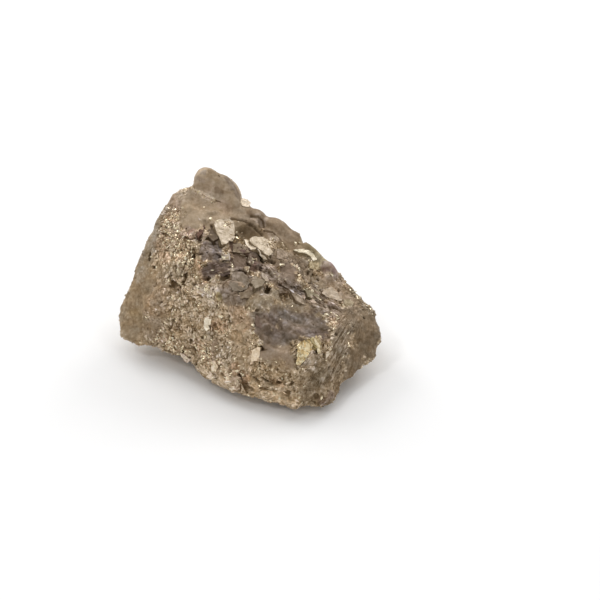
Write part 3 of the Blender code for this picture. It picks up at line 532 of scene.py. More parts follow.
# Relief, with widths and heights in mm. Grit grows in aggregates of lens-shaped cells that lie one way.
AGGREGATE = 1.5
LENS_WIDTH = 0.40
LENS_STRETCH = 2.2
PLATE = 2.3
SMALL_PLATE = 0.95
POCK = 1.5
AGGREGATE_TILT = 0.16
LENS_TILT = 0.15
LENS_DOME = 0.08
LENS_GAP = 0.12
CREVICE_PATCH = 0.8
CREVICE_EDGE = 2.4
PLATE_TILT = 0.42
PLATE_STEP = 0.20
PLATE_GAP = 0.14
SMALL_PLATE_TILT = 0.16
POCK_DEPTH = 0.30
POCK_RADIUS = 0.17
POCK_SHARE = -0.06
SWELL = 0.09
RIPPLE = 0.035
STRAND_HEIGHT = 0.10
SMALL_PLATE_STEP = 0.07
SMALL_PLATE_GAP = 0.06
LENS_CROWN = 0.3
PLATE_SQUEEZE = np.array([1.0, 1.3, 1.0])
RIDGE_FALL = 1.2

# Relief noises, each with its width in mm and the offset that sets it apart from the others
CREVICES = (CREVICE_PATCH, 21.0)
SWELLS = (2.8, 4.0)
RIPPLES = (0.8, 9.0)
FLAKE_PATCHES = (2.2, 6.0)

# How wide the gaps between cells and the rims of pocks are, as shares of a cell, and how much of a gap
# between lenses is left outside crevices. Pocks are in the cells whose number is over POCK_SHARE.
LENS_GAP_WIDTH = 0.30
PLATE_GAP_WIDTH = 0.08
SMALL_GAP_WIDTH = 0.14
POCK_RIM = 0.08
LEAST_GAP = 0.25

# How dark the painted shade inside gaps, pocks and cracks is, as shares of CAVITY_SHADE
LENS_GAP_DARK = 0.95
PLATE_GAP_DARK = 0.5
SMALL_GAP_DARK = 0.3
POCK_DARK = 0.9
CRACK_DARK = 0.85

# How far the tones of aggregates, lenses, plates, small plates and strands spread, as natural logarithms
AGGREGATE_TONE = 0.25
LENS_TONE = 0.40
PLATE_TONE = 0.35
SMALL_PLATE_TONE = 0.30
STRAND_TONE = 0.35

# Keys that set the numbers drawn for cells apart: of any cell, of a slab, of its facets and of its flecks
CELL_KEY = 31.7
SLAB_KEY = 7.3
FACET_KEY = 9.1
FLECK_KEY = 17.3

# The crest of a ridge that is this narrow in mm is painted paler than what lies beside it, by this tone: a
# painted highlight along the crest
SHARP_RIDGE = 0.40
CREST_HIGHLIGHT_TONE = 0.32

# A crack or pit of this depth in mm or more gets the full painted shade, and the painted shade of a cavity
# takes this much of the light
DARK_DEPTH = 0.32
CAVITY_SHADE = 0.78

# Strands fan out from a place of the photograph, and have their width, in mm, at FAN_REACH pixels from it.
# Flakes on them point away from STRAND_ROOT. The material's strands are finer than the relief's by a factor.
# A way shorter than LEAST_WAY doesn't count.
FAN = (371, 286)
FAN_REACH = 55
STRAND_WIDTH = 0.30
STRAND_LENGTH = 1.9
STRAND_ROOT = (358, 306)
FINE_STRANDS = 1.5
WAY_AXES = ("way_x", "way_y", "way_z")
LEAST_WAY = 0.30

# Flakes set on the skin: how many, their length and width ranges in mm, how thin they are, and how far they
# tilt and stray from the way that their aggregate lies
FLAKE_SETS = {
    "broad_flakes": {"count": 10000, "length": (0.42, 1.00), "width": (0.22, 0.46), "tilt": 0.26, "seed": 5},
    "small_flakes": {"count": 14000, "length": (0.24, 0.60), "width": (0.14, 0.28), "tilt": 0.40, "seed": 9},
}
FLAKE_THICKNESS = 0.4
FLAKE_SUNK = 0.05
FLAKE_STRAY = 0.35
FAR_SIDE_FLAKES = 0.45
FLAKE_ROUGH = 0.4

# Where flakes lie along a way, they stray and tilt less, and are longer and slimmer. No flake is set below
# the first height in mm, and no corner of one goes below the second.
ORDERED = 0.35
LESS_STRAY = 0.5
LESS_TILT = 0.6
LONGER = 0.6
SLIMMER = 0.3
LEAST_HEIGHT = 0.3
CORNER_HEIGHT = 0.02


def srgb(colour):
    """Linear light of an sRGB colour given as 0 to 255."""
    shares = [value / 255.0 for value in colour]
    return np.array([v / 12.92 if v <= 0.04045 else ((v + 0.055) / 1.055) ** 2.4 for v in shares])


# How strongly a tone works on red, green and blue: what is darker is browner, and what is brighter is whiter
TONE_POWERS = np.array([0.87, 1.0, 1.27])


def toned(colours, tones):
    """Linear colours brightened or dimmed by tones, which are natural logarithms."""
    return colours * np.exp(np.outer(tones, TONE_POWERS))


def smoothstep(share):
    share = np.clip(share, 0.0, 1.0)
    return share * share * (3.0 - 2.0 * share)


def unit(vectors):
    return vectors / np.maximum(np.linalg.norm(vectors, axis=1), 1e-9)[:, None]


def pixel_ray(pixel):
    """The direction in which the camera sees a pixel of the photograph."""
    half = SENSOR / LENS / 2.0
    across = (pixel[0] / IMAGE_SIDE * 2.0 - 1.0) * half
    up = (1.0 - pixel[1] / IMAGE_SIDE * 2.0) * half
    return (FORWARD + RIGHTWARD * across + UPWARD * up).normalized()


def pixels_of(points):
    """The pixels at which the camera sees points given in mm."""
    apart = points * MM - np.array(EYE)
    depth = apart @ np.array(FORWARD)
    scale = LENS / SENSOR * IMAGE_SIDE / depth
    across = IMAGE_SIDE / 2 + apart @ np.array(RIGHTWARD) * scale
    down = IMAGE_SIDE / 2 - apart @ np.array(UPWARD) * scale
    return across, down


def towards_camera(points):
    """How far points in mm lie towards the camera from the middle of the bottom, level with the view."""
    return -(points @ np.array(FORWARD))


def link(obj):
    bpy.context.scene.collection.objects.link(obj)
    return obj


def read(layer, field, width=1, kind=np.float64):
    """A field of each of many elements, in rows."""
    values = np.empty(len(layer) * width, dtype=kind)
    layer.foreach_get(field, values)
    return values.reshape(-1, width)


def points_of(mesh):
    return read(mesh.vertices, "co", 3) / MM


def normals_of(mesh):
    return read(mesh.vertex_normals, "vector", 3)


def place_points(mesh, points):
    mesh.vertices.foreach_set("co", (points * MM).ravel())
    mesh.update()


def modified(obj):
    """The object's mesh with its modifiers applied."""
    depsgraph = bpy.context.evaluated_depsgraph_get()
    mesh = bpy.data.meshes.new_from_object(obj.evaluated_get(depsgraph))
    obj.modifiers.clear()
    obj.data = mesh
    return mesh


def remeshed(node, name):
    """A closed, evenly fine copy of a node's mesh."""
    mesh = node.data.copy()
    bm = bmesh.new()
    bm.from_mesh(mesh)
    bmesh.ops.remove_doubles(bm, verts=bm.verts, dist=WELD)
    bm.to_mesh(mesh)
    bm.free()
    obj = link(bpy.data.objects.new(name, mesh))
    remesh = obj.modifiers.new("Fine skin", "REMESH")
    remesh.mode = "VOXEL"
    remesh.voxel_size = VOXEL
    modified(obj).materials.clear()
    return obj


def thin_out(obj, triangles):
    """Drop triangles where the skin is plainest."""
    now = sum(len(face.vertices) - 2 for face in obj.data.polygons)
    decimate = obj.modifiers.new("Fewer triangles", "DECIMATE")
    decimate.ratio = min(1.0, triangles / now)
    modified(obj)


def tree_of(mesh):
    corners = [list(face.vertices) for face in mesh.polygons]
    return BVHTree.FromPolygons([vert.co for vert in mesh.vertices], corners)


def cast(tree, place):
    """Where the skin is at a place, in mm, or None where the camera's line misses it."""
    if len(place) == 2:
        found, _, _, _ = tree.ray_cast(EYE, pixel_ray(place))
    else:
        found, _, _, _ = tree.find_nearest(Vector(place) * MM)
    return None if found is None else np.array(found) / MM


def route_of(tree, places):
    return [found for found in (cast(tree, place) for place in places) if found is not None]


def line_distance(points, line):
    """Distance of each point to a line through several places, in mm."""
    if not line:
        return np.full(len(points), np.inf)
    nearest = np.linalg.norm(points - line[0], axis=1)
    for start, end in zip(line[:-1], line[1:]):
        run = end - start
        share = np.clip((points - start) @ run / max(run @ run, 1e-9), 0.0, 1.0)
        nearest = np.minimum(nearest, np.linalg.norm(points - start - share[:, None] * run, axis=1))
    return nearest


def within(points, tree, places, radius, wobble):
    """1 inside a stroke and 0 outside it, with a soft, uneven rim."""
    apart = line_distance(points, route_of(tree, places)) / radius
    return smoothstep((1.0 + RIM_SOFTNESS / 2 - apart + RIM_WAVER * wobble) / RIM_SOFTNESS)


def noise_at(points, width, offset=0.0):
    return np.array([noise.noise(Vector(point) / width + Vector((offset,) * 3)) for point in points])


def lean_of(place, key):
    """Three numbers from -0.5 to 0.5 that belong to a cell's middle, the same whenever they are drawn."""
    return Vector(noise.cell_vector(place * key)) - Vector((0.5, 0.5, 0.5))


def cells_at(points, cell):
    """For cells of a size: distance to the middle, distance to the rim, height of a tilted top, a number of
    each cell, and a direction that it lies in."""
    inner = np.empty(len(points))
    rim = np.empty(len(points))
    tilt = np.empty(len(points))
    own = np.empty((len(points), 3))
    for i, point in enumerate(points):
        at = Vector(point) / cell
        near, middles = noise.voronoi(at)
        lean = lean_of(middles[0], CELL_KEY)
        inner[i] = near[0]
        rim[i] = near[1] - near[0]
        tilt[i] = (at - middles[0]).dot(lean)
        own[i] = lean
    return inner, rim, tilt, own[:, 0], unit(own)


def melted(points, edges, strength, rounds):
    """Points drawn towards their neighbours, so that edges soften."""
    count = len(points)
    shares = np.bincount(edges.ravel(), minlength=count)
    points = points.copy()
    for _ in range(rounds):
        for axis in range(3):
            along = points[:, axis]
            total = np.bincount(edges[:, 0], along[edges[:, 1]], count)
            total += np.bincount(edges[:, 1], along[edges[:, 0]], count)
            points[:, axis] = along + strength * (total / shares - along)
    return points


def characters_at(points, tree, wobble):
    """The weight of each character at each point. Where strokes overlap, their weights share the place."""
    weights = {}
    for name, character in CHARACTERS.items():
        weight = np.zeros(len(points))
        for places, radius in character["strokes"]:
            weight = np.maximum(weight, within(points, tree, places, radius, wobble))
        weights[name] = weight
    over = np.maximum(sum(weights.values()), 1.0)
    return {name: weight / over for name, weight in weights.items()}


def ways_at(weights, tree):
    """The way that flakes lie where a character gives one, as long as the character's weight."""
    ways = 0.0
    for name, character in CHARACTERS.items():
        if "way" in character:
            start, end = route_of(tree, character["way"])
            run = (end - start) / np.linalg.norm(end - start)
            ways = ways + np.outer(weights[name], run)
    return ways


def blend_of(weights, field):
    """A value that each character has, blended by weight over what grit has."""
    value = GRIT[field] * (1.0 - sum(weights.values()))
    for name, weight in weights.items():
        value = value + weight * CHARACTERS[name][field]
    return value


# Mottling of the skin's tone, and patches of warmer and cooler hue: the width in mm, strength and offset of
# each noise. A warm patch has more red and less blue. No paint is brighter than BRIGHTEST.
MOTTLES = ((1.3, 0.8, 12.0), (0.55, 0.9, 17.0), (0.30, 0.8, 23.0))
WARMTHS = ((2.2, 1.0, 3.0), (0.8, 0.7, 7.0))
WARM_SHIFT = np.array([0.06, 0.0, -0.09])
WARM_BY_MOTTLE = 4.0
BRIGHTEST = 0.93


def colours_at(points, weights, tree, wobble):
    """Linear colours of the skin: its characters' colours, then stains, shades, mottling and warmth."""
    colour = np.outer(1.0 - sum(weights.values()), srgb(GRIT["colour"]))
    for name, weight in weights.items():
        colour += np.outer(weight, srgb(CHARACTERS[name]["colour"]))
    for places, radius, tint, share in STAINS.values():
        stain = (share * within(points, tree, places, radius, wobble))[:, None]
        bright = colour.mean(axis=1)[:, None] / srgb(tint).mean()
        colour = colour * (1.0 - stain) + srgb(tint) * bright * stain
    for places, radius, tone in SHADES.values():
        colour = toned(colour, tone * within(points, tree, places, radius, wobble))
    mottle = blend_of(weights, "mottle")
    tone, warmth = [sum(share * noise_at(points, width, offset) for width, share, offset in noises)
                    for noises in (MOTTLES, WARMTHS)]
    warmth *= np.minimum(mottle * WARM_BY_MOTTLE, 1.0)
    return toned(colour, mottle * tone) * (1.0 + np.outer(warmth, WARM_SHIFT))


def paint(mesh, colours):
    """Paint a mesh. Colours too bright for paint are dimmed without a change of hue."""
    colours = colours / np.maximum(colours.max(axis=1) / BRIGHTEST, 1.0)[:, None]
    layer = mesh.color_attributes.new("tint", "FLOAT_COLOR", "POINT")
    layer.data.foreach_set("color", np.column_stack([colours, np.ones(len(colours))]).ravel())


def painted(mesh):
    return read(mesh.color_attributes["tint"].data, "color", 4)[:, :3]


def mark(mesh, name, values):
    """A value of each point that the materials read."""
    mesh.attributes.new(name, "FLOAT", "POINT").data.foreach_set("value", values)


def marked(mesh, name):
    return read(mesh.attributes[name].data, "value")[:, 0]


def fan_at(points):
    """Where points lie in the fan of strands: across the strands and along them, in widths and lengths."""
    across, down = pixels_of(points)
    angle = np.arctan2(across - FAN[0], np.maximum(down - FAN[1], 1.0))
    away = np.hypot(across - FAN[0], down - FAN[1])
    return angle * FAN_REACH * PIXEL / STRAND_WIDTH, away * PIXEL / STRAND_LENGTH


def strand_places(points, ways):
    """Where points lie across the strands and along them, by the way if there is one, or else by the fan."""
    across, along = fan_at(points)
    ordered = np.linalg.norm(ways, axis=1) > LEAST_WAY
    way = unit(ways[ordered])
    sideways = unit(np.cross(way, np.array(FORWARD)))
    across[ordered] = (points[ordered] * sideways).sum(axis=1) / STRAND_WIDTH
    along[ordered] = (points[ordered] * way).sum(axis=1) / STRAND_LENGTH
    return across, along


def lenses_at(points):
    """Cells of the grit: lens-shaped, all lying one way within an aggregate."""
    _, _, tilt, number, lie = cells_at(points, AGGREGATE)
    along = (points * lie).sum(axis=1)
    squeezed = points - (1.0 - 1.0 / LENS_STRETCH) * along[:, None] * lie
    return tilt, number, cells_at(squeezed, LENS_WIDTH)


def make_skin(node):
    """The lump's skin, with its relief and its colours, and the tree that places are cast on."""
    obj = remeshed(node, "pyrite_skin")
    mesh = obj.data
    points = points_of(mesh)
    edges = read(mesh.edges, "vertices", 2, np.int64)
    tree = tree_of(mesh)
    wobble = sum(noise_at(points, width) for width in WOBBLE_WIDTHS)
    weights = characters_at(points, tree, wobble)
    colours = colours_at(points, weights, tree, wobble)

    smooth = blend_of(weights, "smooth")
    points = melted(points, edges, MELT_STRENGTH, MELT_ALL)
    points = melted(points, edges, MELT_STRENGTH * smooth, MELT_SMOOTH)
    place_points(mesh, points)
    normals = normals_of(mesh)

    lumps = blend_of(weights, "lumps")
    plates = blend_of(weights, "plates")
    strands = blend_of(weights, "strands")
    aggregate_tilt, aggregate, lenses = lenses_at(points)
    lens_inner, lens_rim, lens_tilt, lens, _ = lenses
    _, plate_rim, plate_tilt, plate, _ = cells_at(points * PLATE_SQUEEZE, PLATE)
    _, small_rim, small_tilt, small, _ = cells_at(points, SMALL_PLATE)
    pock_inner, _, _, pock, _ = cells_at(points, POCK)
    creviced = smoothstep(0.5 + CREVICE_EDGE * noise_at(points, *CREVICES))
    gap = smoothstep(1.0 - lens_rim / LENS_GAP_WIDTH) * (LEAST_GAP + (1.0 - LEAST_GAP) * creviced)
    plate_gap = smoothstep(1.0 - plate_rim / PLATE_GAP_WIDTH)
    small_gap = smoothstep(1.0 - small_rim / SMALL_GAP_WIDTH)
    rough = np.clip(lumps, 0.0, 1.0)
    pocked = (pock > POCK_SHARE) * smoothstep((POCK_RADIUS - pock_inner) / POCK_RIM) * rough
    ways = ways_at(weights, tree)
    across, along = strand_places(points, ways)
    strand = np.array([noise.noise(Vector(place)) for place in zip(across, along, np.zeros(len(across)))])

    shift = MELT_LOSS * smooth
    shift += lumps * (AGGREGATE_TILT * aggregate_tilt + LENS_TILT * lens_tilt)
    shift += lumps * (LENS_DOME * (LENS_CROWN - lens_inner ** 2) - LENS_GAP * gap)
    shift += plates * (PLATE_TILT * plate_tilt + PLATE_STEP * plate - PLATE_GAP * plate_gap)
    shift += plates * (SMALL_PLATE_TILT * small_tilt + SMALL_PLATE_STEP * small - SMALL_PLATE_GAP * small_gap)
    shift += SWELL * noise_at(points, *SWELLS) + RIPPLE * noise_at(points, *RIPPLES)
    shift += strands * STRAND_HEIGHT * strand - POCK_DEPTH * pocked

    # Narrow ridges get a painted highlight along their crests
    crest = np.zeros(len(points))
    for places, half_width, height in RIDGES.values():
        apart = line_distance(points, route_of(tree, places)) / half_width
        rise = np.exp(-RIDGE_FALL * apart ** 2)
        shift += height * rise
        if height > 0.0 and half_width <= SHARP_RIDGE:
            crest = np.maximum(crest, rise)
    dark = POCK_DARK * pocked
    pits = [([place], radius, depth) for place, radius, depth in PITS.values()]
    for places, radius, depth in list(CRACKS.values()) + pits:
        inside = within(points, tree, places, radius, wobble)
        shift -= depth * inside
        dark = np.maximum(dark, inside * min(1.0, depth / DARK_DEPTH))

    # Painted shade in the gaps between cells and plates, in pocks, cracks and pits
    plates_dark = plates * (PLATE_GAP_DARK * plate_gap + SMALL_GAP_DARK * small_gap)
    cavity = np.maximum(lumps * LENS_GAP_DARK * gap, plates_dark)
    cavity = np.maximum(np.minimum(cavity, 1.0), CRACK_DARK * dark)
    tone = lumps * (AGGREGATE_TONE * aggregate + LENS_TONE * lens)
    tone += plates * (PLATE_TONE * plate + SMALL_PLATE_TONE * small)
    # The crest term is a painted highlight on narrow ridges
    tone += strands * STRAND_TONE * strand + CREST_HIGHLIGHT_TONE * crest
    points = points + normals * shift[:, None]
    points[:, 2] = np.maximum(points[:, 2], 0.0)
    place_points(mesh, points)
    paint(mesh, toned(colours, tone + np.log(1.0 - CAVITY_SHADE * cavity)))
    mark(mesh, "flakes", blend_of(weights, "flakes") * (1.0 - dark))
    mark(mesh, "glints", blend_of(weights, "glints"))
    fields = ("rough", "strands", "across", "along", *WAY_AXES)
    for field, values in zip(fields, (rough, strands, across * FINE_STRANDS, along, *ways.T)):
        mark(mesh, field, values)
    thin_out(obj, SKIN_TRIANGLES)
    return obj, tree


def parted(skin):
    """The skin as pieces that meet edge to edge, each shaded as the whole skin is."""
    mesh = skin.data
    points = points_of(mesh)
    normals = normals_of(mesh)
    faces = [tuple(face.vertices) for face in mesh.polygons]
    middles = np.array([points[list(face)].mean(axis=0) for face in faces])
    near = towards_camera(middles) > NEAR_SIDE
    sides = {
        "near_left_skin": near & (middles[:, 0] < MIDDLE),
        "near_right_skin": near & (middles[:, 0] >= MIDDLE),
        "far_skin": ~near,
    }
    pieces = []
    for name, chosen in sides.items():
        taken = [faces[i] for i in np.flatnonzero(chosen)]
        used = np.unique(np.concatenate([np.array(face) for face in taken]))
        place = np.zeros(len(points), dtype=np.int64)
        place[used] = np.arange(len(used))
        part = bpy.data.meshes.new(name)
        part.from_pydata((points[used] * MM).tolist(), [], [[int(place[i]) for i in face] for face in taken])
        part.polygons.foreach_set("use_smooth", np.ones(len(part.polygons), dtype=bool))
        paint(part, painted(mesh)[used])
        for field in ("rough", "strands", "across", "along"):
            mark(part, field, marked(mesh, field)[used])
        part.normals_split_custom_set_from_vertices(normals[used].tolist())
        pieces.append(link(bpy.data.objects.new(name, part)))
    return pieces


# How a bare face is cut, in mm: how deep its slab goes, how far its rim wavers, how large its facets are,
# and how far they tilt and ripple. Its plane is measured within the heart of its outline. A wave of its rim
# has a fineness, a strength and three offsets. Tones are natural logarithms, of flecks, clouds and streaks.
# A face of which GRAINY or more is broken into flecks is rough, and its flecks shine. A slab that faces the
# camera less than LEAST_FACING is turned towards it.
SLAB_DEPTH = 1.0
SLAB_HEART = 0.7
SLAB_WAVES = ((1.2, 1.0, (1.0, 5.0, 9.0)), (3.1, 0.6, (2.0, 6.0, 8.0)))
RIPPLE_FINENESS = 2.5
CLOUD_FINENESS = 1.9
SLAB_CUTS = 5
SLAB_WAVER = 0.16
SLAB_CELL = 0.80
SLAB_TILT = 0.14
SLAB_RIPPLE = 0.05
FLECK = 0.32
# The tone of the painted shade on a slab's sides, below SIDE_BELOW mm under its top: a painted shadow line
# along its rim
SLAB_SIDE_SHADE = -0.80
SIDE_BELOW = 0.05
FLECK_GLINT_COLOUR = (255, 245, 212)
FLECK_PAINT = 0.6
DARK_FLECK = -0.60
DARK_FLECKS = 0.25
SLAB_TONES = (0.18, 0.14, 0.30)
GRAINY = 0.4
GRAINY_ROUGH = 0.8
BARE_ROUGH = 0.45
STREAK_FINE = 4.6
STREAK_LONG = 0.7
SLAB_LEAN = 0.24
LEAST_FACING = 0.5
TURN_TO_VIEW = 1.4


def slab(name, outline, lift, colour, flecks, tree):
    """A crystal's bare face: a slab whose outline is seen at the given pixels, bedded in the skin."""
    middle = np.mean(outline, axis=0)
    inner = [middle + SLAB_HEART * (np.array(pixel) - middle) for pixel in outline]
    hits = np.array(route_of(tree, inner))
    centre = hits.mean(axis=0)
    along, across, outward = [Vector(axis) for axis in np.linalg.svd(hits - centre)[2]]
    if outward.dot(FORWARD) > 0.0:
        outward.negate()
    outward += lean_of(Vector(centre), SLAB_KEY) * SLAB_LEAN
    outward.normalize()
    facing = -outward.dot(FORWARD)
    if facing < LEAST_FACING:
        outward = (outward - FORWARD * (LEAST_FACING - facing) * TURN_TO_VIEW).normalized()
    seat = Vector(centre) * MM + outward * lift * MM
    bm = bmesh.new()
    ring = []
    for pixel in outline:
        ray = pixel_ray(pixel)
        reach = (seat - EYE).dot(outward) / ray.dot(outward)
        ring.append(bm.verts.new(EYE + ray * reach))
    top = bm.faces.new(ring)
    made = bmesh.ops.extrude_face_region(bm, geom=[top])
    for element in made["geom"]:
        if isinstance(element, bmesh.types.BMVert):
            element.co -= outward * SLAB_DEPTH * MM
    bmesh.ops.triangulate(bm, faces=bm.faces)
    bmesh.ops.subdivide_edges(bm, edges=bm.edges, cuts=SLAB_CUTS, use_grid_fill=True)
    colours = []
    shine = []
    for vert in bm.verts:
        at = vert.co / MM
        below = (seat - vert.co).dot(outward) / MM
        waver = Vector()
        for fineness, strength, offsets in SLAB_WAVES:
            waver += Vector([noise.noise(at * fineness + Vector((k, 0, 0))) for k in offsets]) * strength
        waver -= outward * waver.dot(outward)
        _, cells = noise.voronoi(at / SLAB_CELL)
        relief = SLAB_TILT * (at / SLAB_CELL - cells[0]).dot(lean_of(cells[0], FACET_KEY))
        relief += SLAB_RIPPLE * noise.noise(at * RIPPLE_FINENESS)
        _, small_cells = noise.voronoi(at / FLECK)
        kind = noise.cell_vector(small_cells[0] * FLECK_KEY)
        streak = noise.noise(Vector((at.dot(across) * STREAK_FINE, at.dot(along) * STREAK_LONG, 0.0)))
        tones = (kind[0] - 0.5, noise.noise(at * CLOUD_FINENESS), streak)
        paint_here = toned(srgb(colour), sum(share * tone for share, tone in zip(SLAB_TONES, tones)))[0]
        shine.append(float(kind[1] < flecks))
        # Bright flecks are painted glints
        if kind[1] < flecks:
            paint_here = paint_here * (1.0 - FLECK_PAINT) + srgb(FLECK_GLINT_COLOUR) * FLECK_PAINT
        if flecks and kind[2] < DARK_FLECKS:
            paint_here = toned(paint_here, DARK_FLECK)[0]
        # A slab's sides are painted darker: painted shade along its rim
        if below > SIDE_BELOW:
            paint_here = toned(paint_here, SLAB_SIDE_SHADE)[0]
        colours.append(paint_here)
        vert.co += (waver * SLAB_WAVER + outward * relief) * MM
    bmesh.ops.recalc_face_normals(bm, faces=bm.faces)
    mesh = bpy.data.meshes.new(name)
    bm.to_mesh(mesh)
    bm.free()
    paint(mesh, np.array(colours))
    mark(mesh, "rough", np.full(len(mesh.vertices), GRAINY_ROUGH if flecks >= GRAINY else BARE_ROUGH))
    mark(mesh, "shine", np.array(shine) * (flecks >= GRAINY))
    return link(bpy.data.objects.new(name, mesh))


# A flake is a lens with four corners, thinner at its top
LENS_CORNERS = np.array([
    (-0.5, 0.0, -0.5), (0.0, -0.5, -0.5), (0.5, 0.0, -0.5), (0.0, 0.5, -0.5),
    (-0.4, 0.0, 0.5), (0.0, -0.4, 0.5), (0.4, 0.0, 0.5), (0.0, 0.4, 0.5),
])
LENS_FACES = np.array([(3, 2, 1, 0), (4, 5, 6, 7), (0, 1, 5, 4), (1, 2, 6, 5), (2, 3, 7, 6), (3, 0, 4, 7)])
CORNER_JITTER = 0.13


def axes_on(normals, lie, spin, rng):
    """Axes of flakes that lie on the skin: along their way, across it, and outwards, tilted a little."""
    count = len(normals)
    outward = unit(normals + rng.normal(0.0, 1.0, size=(count, 3)) * np.reshape(spin, (-1, 1)))
    along = lie - outward * (lie * outward).sum(axis=1)[:, None]
    along = unit(along)
    return np.stack([along, np.cross(outward, along), outward], axis=2)


def flakes_object(name, middles, axes, sizes, colours, shine, rng):
    """Many small broken crystals as one mesh. A crystal's corners are uneven."""
    eight = len(LENS_CORNERS)
    jitter = rng.uniform(-CORNER_JITTER, CORNER_JITTER, size=(len(middles), eight, 3))
    corners = (LENS_CORNERS[None] + jitter) * sizes[:, None, :]
    corners = np.einsum("nij,nkj->nki", axes, corners) + middles[:, None, :]
    corners[:, :, 2] = np.maximum(corners[:, :, 2], CORNER_HEIGHT)
    faces = (LENS_FACES[None] + eight * np.arange(len(middles))[:, None, None]).reshape(-1, 4)
    mesh = bpy.data.meshes.new(name)
    mesh.from_pydata((corners.reshape(-1, 3) * MM).tolist(), [], faces.tolist())
    paint(mesh, np.repeat(colours, eight, axis=0))
    mark(mesh, "shine", np.repeat(shine, eight))
    mark(mesh, "rough", np.full(len(mesh.vertices), FLAKE_ROUGH))
    return link(bpy.data.objects.new(name, mesh))


def scatter(mesh, density, count, rng):
    """Vertices drawn at random by the area around them and by density."""
    areas = read(mesh.polygons, "area")[:, 0]
    corners = read(mesh.loops, "vertex_index", kind=np.int64)[:, 0]
    totals = read(mesh.polygons, "loop_total", kind=np.int64)[:, 0]
    share = np.bincount(corners, np.repeat(areas / totals, totals), len(mesh.vertices))
    chance = share * density
    return rng.choice(len(share), size=count, replace=False, p=chance / chance.sum())


# Flake tones, as natural logarithms: their middle and spread, the share of dark flakes and how dark they are.
# Glinting flakes are painted towards a near-white colour, a painted glint, by this share of it, and they also
# shine.
FLAKE_TONE = 0.10
FLAKE_SPREAD = 0.24
DARK_FLAKES = 0.10
DARK_TONE = -0.75
PAINTED_GLINT_COLOUR = (255, 241, 208)
GLINT_PAINT = 0.8


def flake_colours(base, glints, rng):
    """Each flake's own colour, most near the skin's, some dark, some painted bright as glints, and whether it
    shines.
    """
    count = len(base)
    tone = rng.normal(FLAKE_TONE, FLAKE_SPREAD, size=count)
    kind = rng.random(count)
    colours = toned(base, np.where(kind < DARK_FLAKES, tone + DARK_TONE, tone))
    glinting = kind > 1.0 - glints
    colours[glinting] = colours[glinting] * (1.0 - GLINT_PAINT) + srgb(PAINTED_GLINT_COLOUR) * GLINT_PAINT
    return colours, glinting.astype(float)


def make_flakes(name, flakes, skin, tree):
    """Flakes that lie on the skin like shingles, one way within an aggregate and along the strands."""
    rng = np.random.default_rng(flakes["seed"])
    mesh = skin.data
    points = points_of(mesh)
    density = np.maximum(marked(mesh, "flakes"), 0.0) * (points[:, 2] > LEAST_HEIGHT)
    density *= np.exp(noise_at(points, *FLAKE_PATCHES))
    density[towards_camera(points) < NEAR_SIDE] *= FAR_SIDE_FLAKES
    chosen = scatter(mesh, density, flakes["count"], rng)
    count = len(chosen)
    places = points[chosen]
    strands = marked(mesh, "strands")[chosen]
    ways = np.column_stack([marked(mesh, axis)[chosen] for axis in WAY_AXES])
    unordered = np.linalg.norm(ways, axis=1) < LEAST_WAY
    ways += (strands * unordered)[:, None] * unit(places - cast(tree, STRAND_ROOT))
    ordered = np.clip(np.linalg.norm(ways, axis=1), 0.0, 1.0)
    lie = cells_at(places, AGGREGATE)[-1]
    lie = np.where((ordered > ORDERED)[:, None], unit(ways), lie)
    stray = FLAKE_STRAY * (1.0 - LESS_STRAY * ordered)
    lie = unit(lie + rng.normal(0.0, 1.0, size=(count, 3)) * stray[:, None])
    length = rng.uniform(*flakes["length"], size=count) * (1.0 + LONGER * ordered)
    width = rng.uniform(*flakes["width"], size=count) * (1.0 - SLIMMER * ordered)
    sizes = np.column_stack([length, width, width * FLAKE_THICKNESS])
    normals = normals_of(mesh)[chosen]
    middles = places - normals * FLAKE_SUNK
    axes = axes_on(normals, lie, flakes["tilt"] * (1.0 - LESS_TILT * ordered), rng)
    colours, shine = flake_colours(painted(mesh)[chosen], marked(mesh, "glints")[chosen], rng)
    return flakes_object(name, middles, axes, sizes, colours, shine, rng)


def make_sparks(skin):
    """The single bright crystals that catch the light, painted near-white as painted glints."""
    tree = tree_of(skin.data)
    rng = np.random.default_rng(SPARK_SEED)
    places = []
    normals = []
    sizes = []
    for column, row, size in [spark for sparks in SPARKS.values() for spark in sparks]:
        place, normal, _, _ = tree.ray_cast(EYE, pixel_ray((column, row)))
        if place is not None:
            places.append(np.array(place) / MM)
            normals.append(np.array(normal))
            sizes.append(size)
    normals = np.array(normals)
    sizes = np.array(sizes)[:, None] * rng.uniform(*SPARK_SIZES, size=(len(sizes), 3))
    axes = axes_on(normals, rng.normal(size=normals.shape), SPARK_TILT, rng)
    middles = np.array(places) + normals * SPARK_LIFT
    colours = np.tile(srgb(SPARK_GLINT_COLOUR), (len(sizes), 1))
    return flakes_object("sparks", middles, axes, sizes, colours, np.full(len(sizes), SPARK_SHINE), rng)


# Materials: how metallic they are, how rough where the skin is smooth, the share of grain, how far grains
# tilt, and whether what is marked "shine" is more metallic and glossier
MATERIALS = {
    "massive pyrite": {"metallic": 0.30, "smooth_gloss": 0.60, "grain": 1.0, "tilt": 0.60},
    "pyrite flakes": {"metallic": 0.35, "smooth_gloss": 0.42, "grain": 0.35, "tilt": 0.30, "shining": True},
    "bare pyrite faces": {"metallic": 0.30, "smooth_gloss": 0.45, "grain": 0.6, "tilt": 0.6, "shining": True},
    "pyrite sparks": {"metallic": 0.30, "smooth_gloss": 0.40, "grain": 0.30, "tilt": 0.30, "shining": True},
}
SHINING_METAL = 0.60
SHINING_GLOSS = 0.21
SPECULAR = 0.25
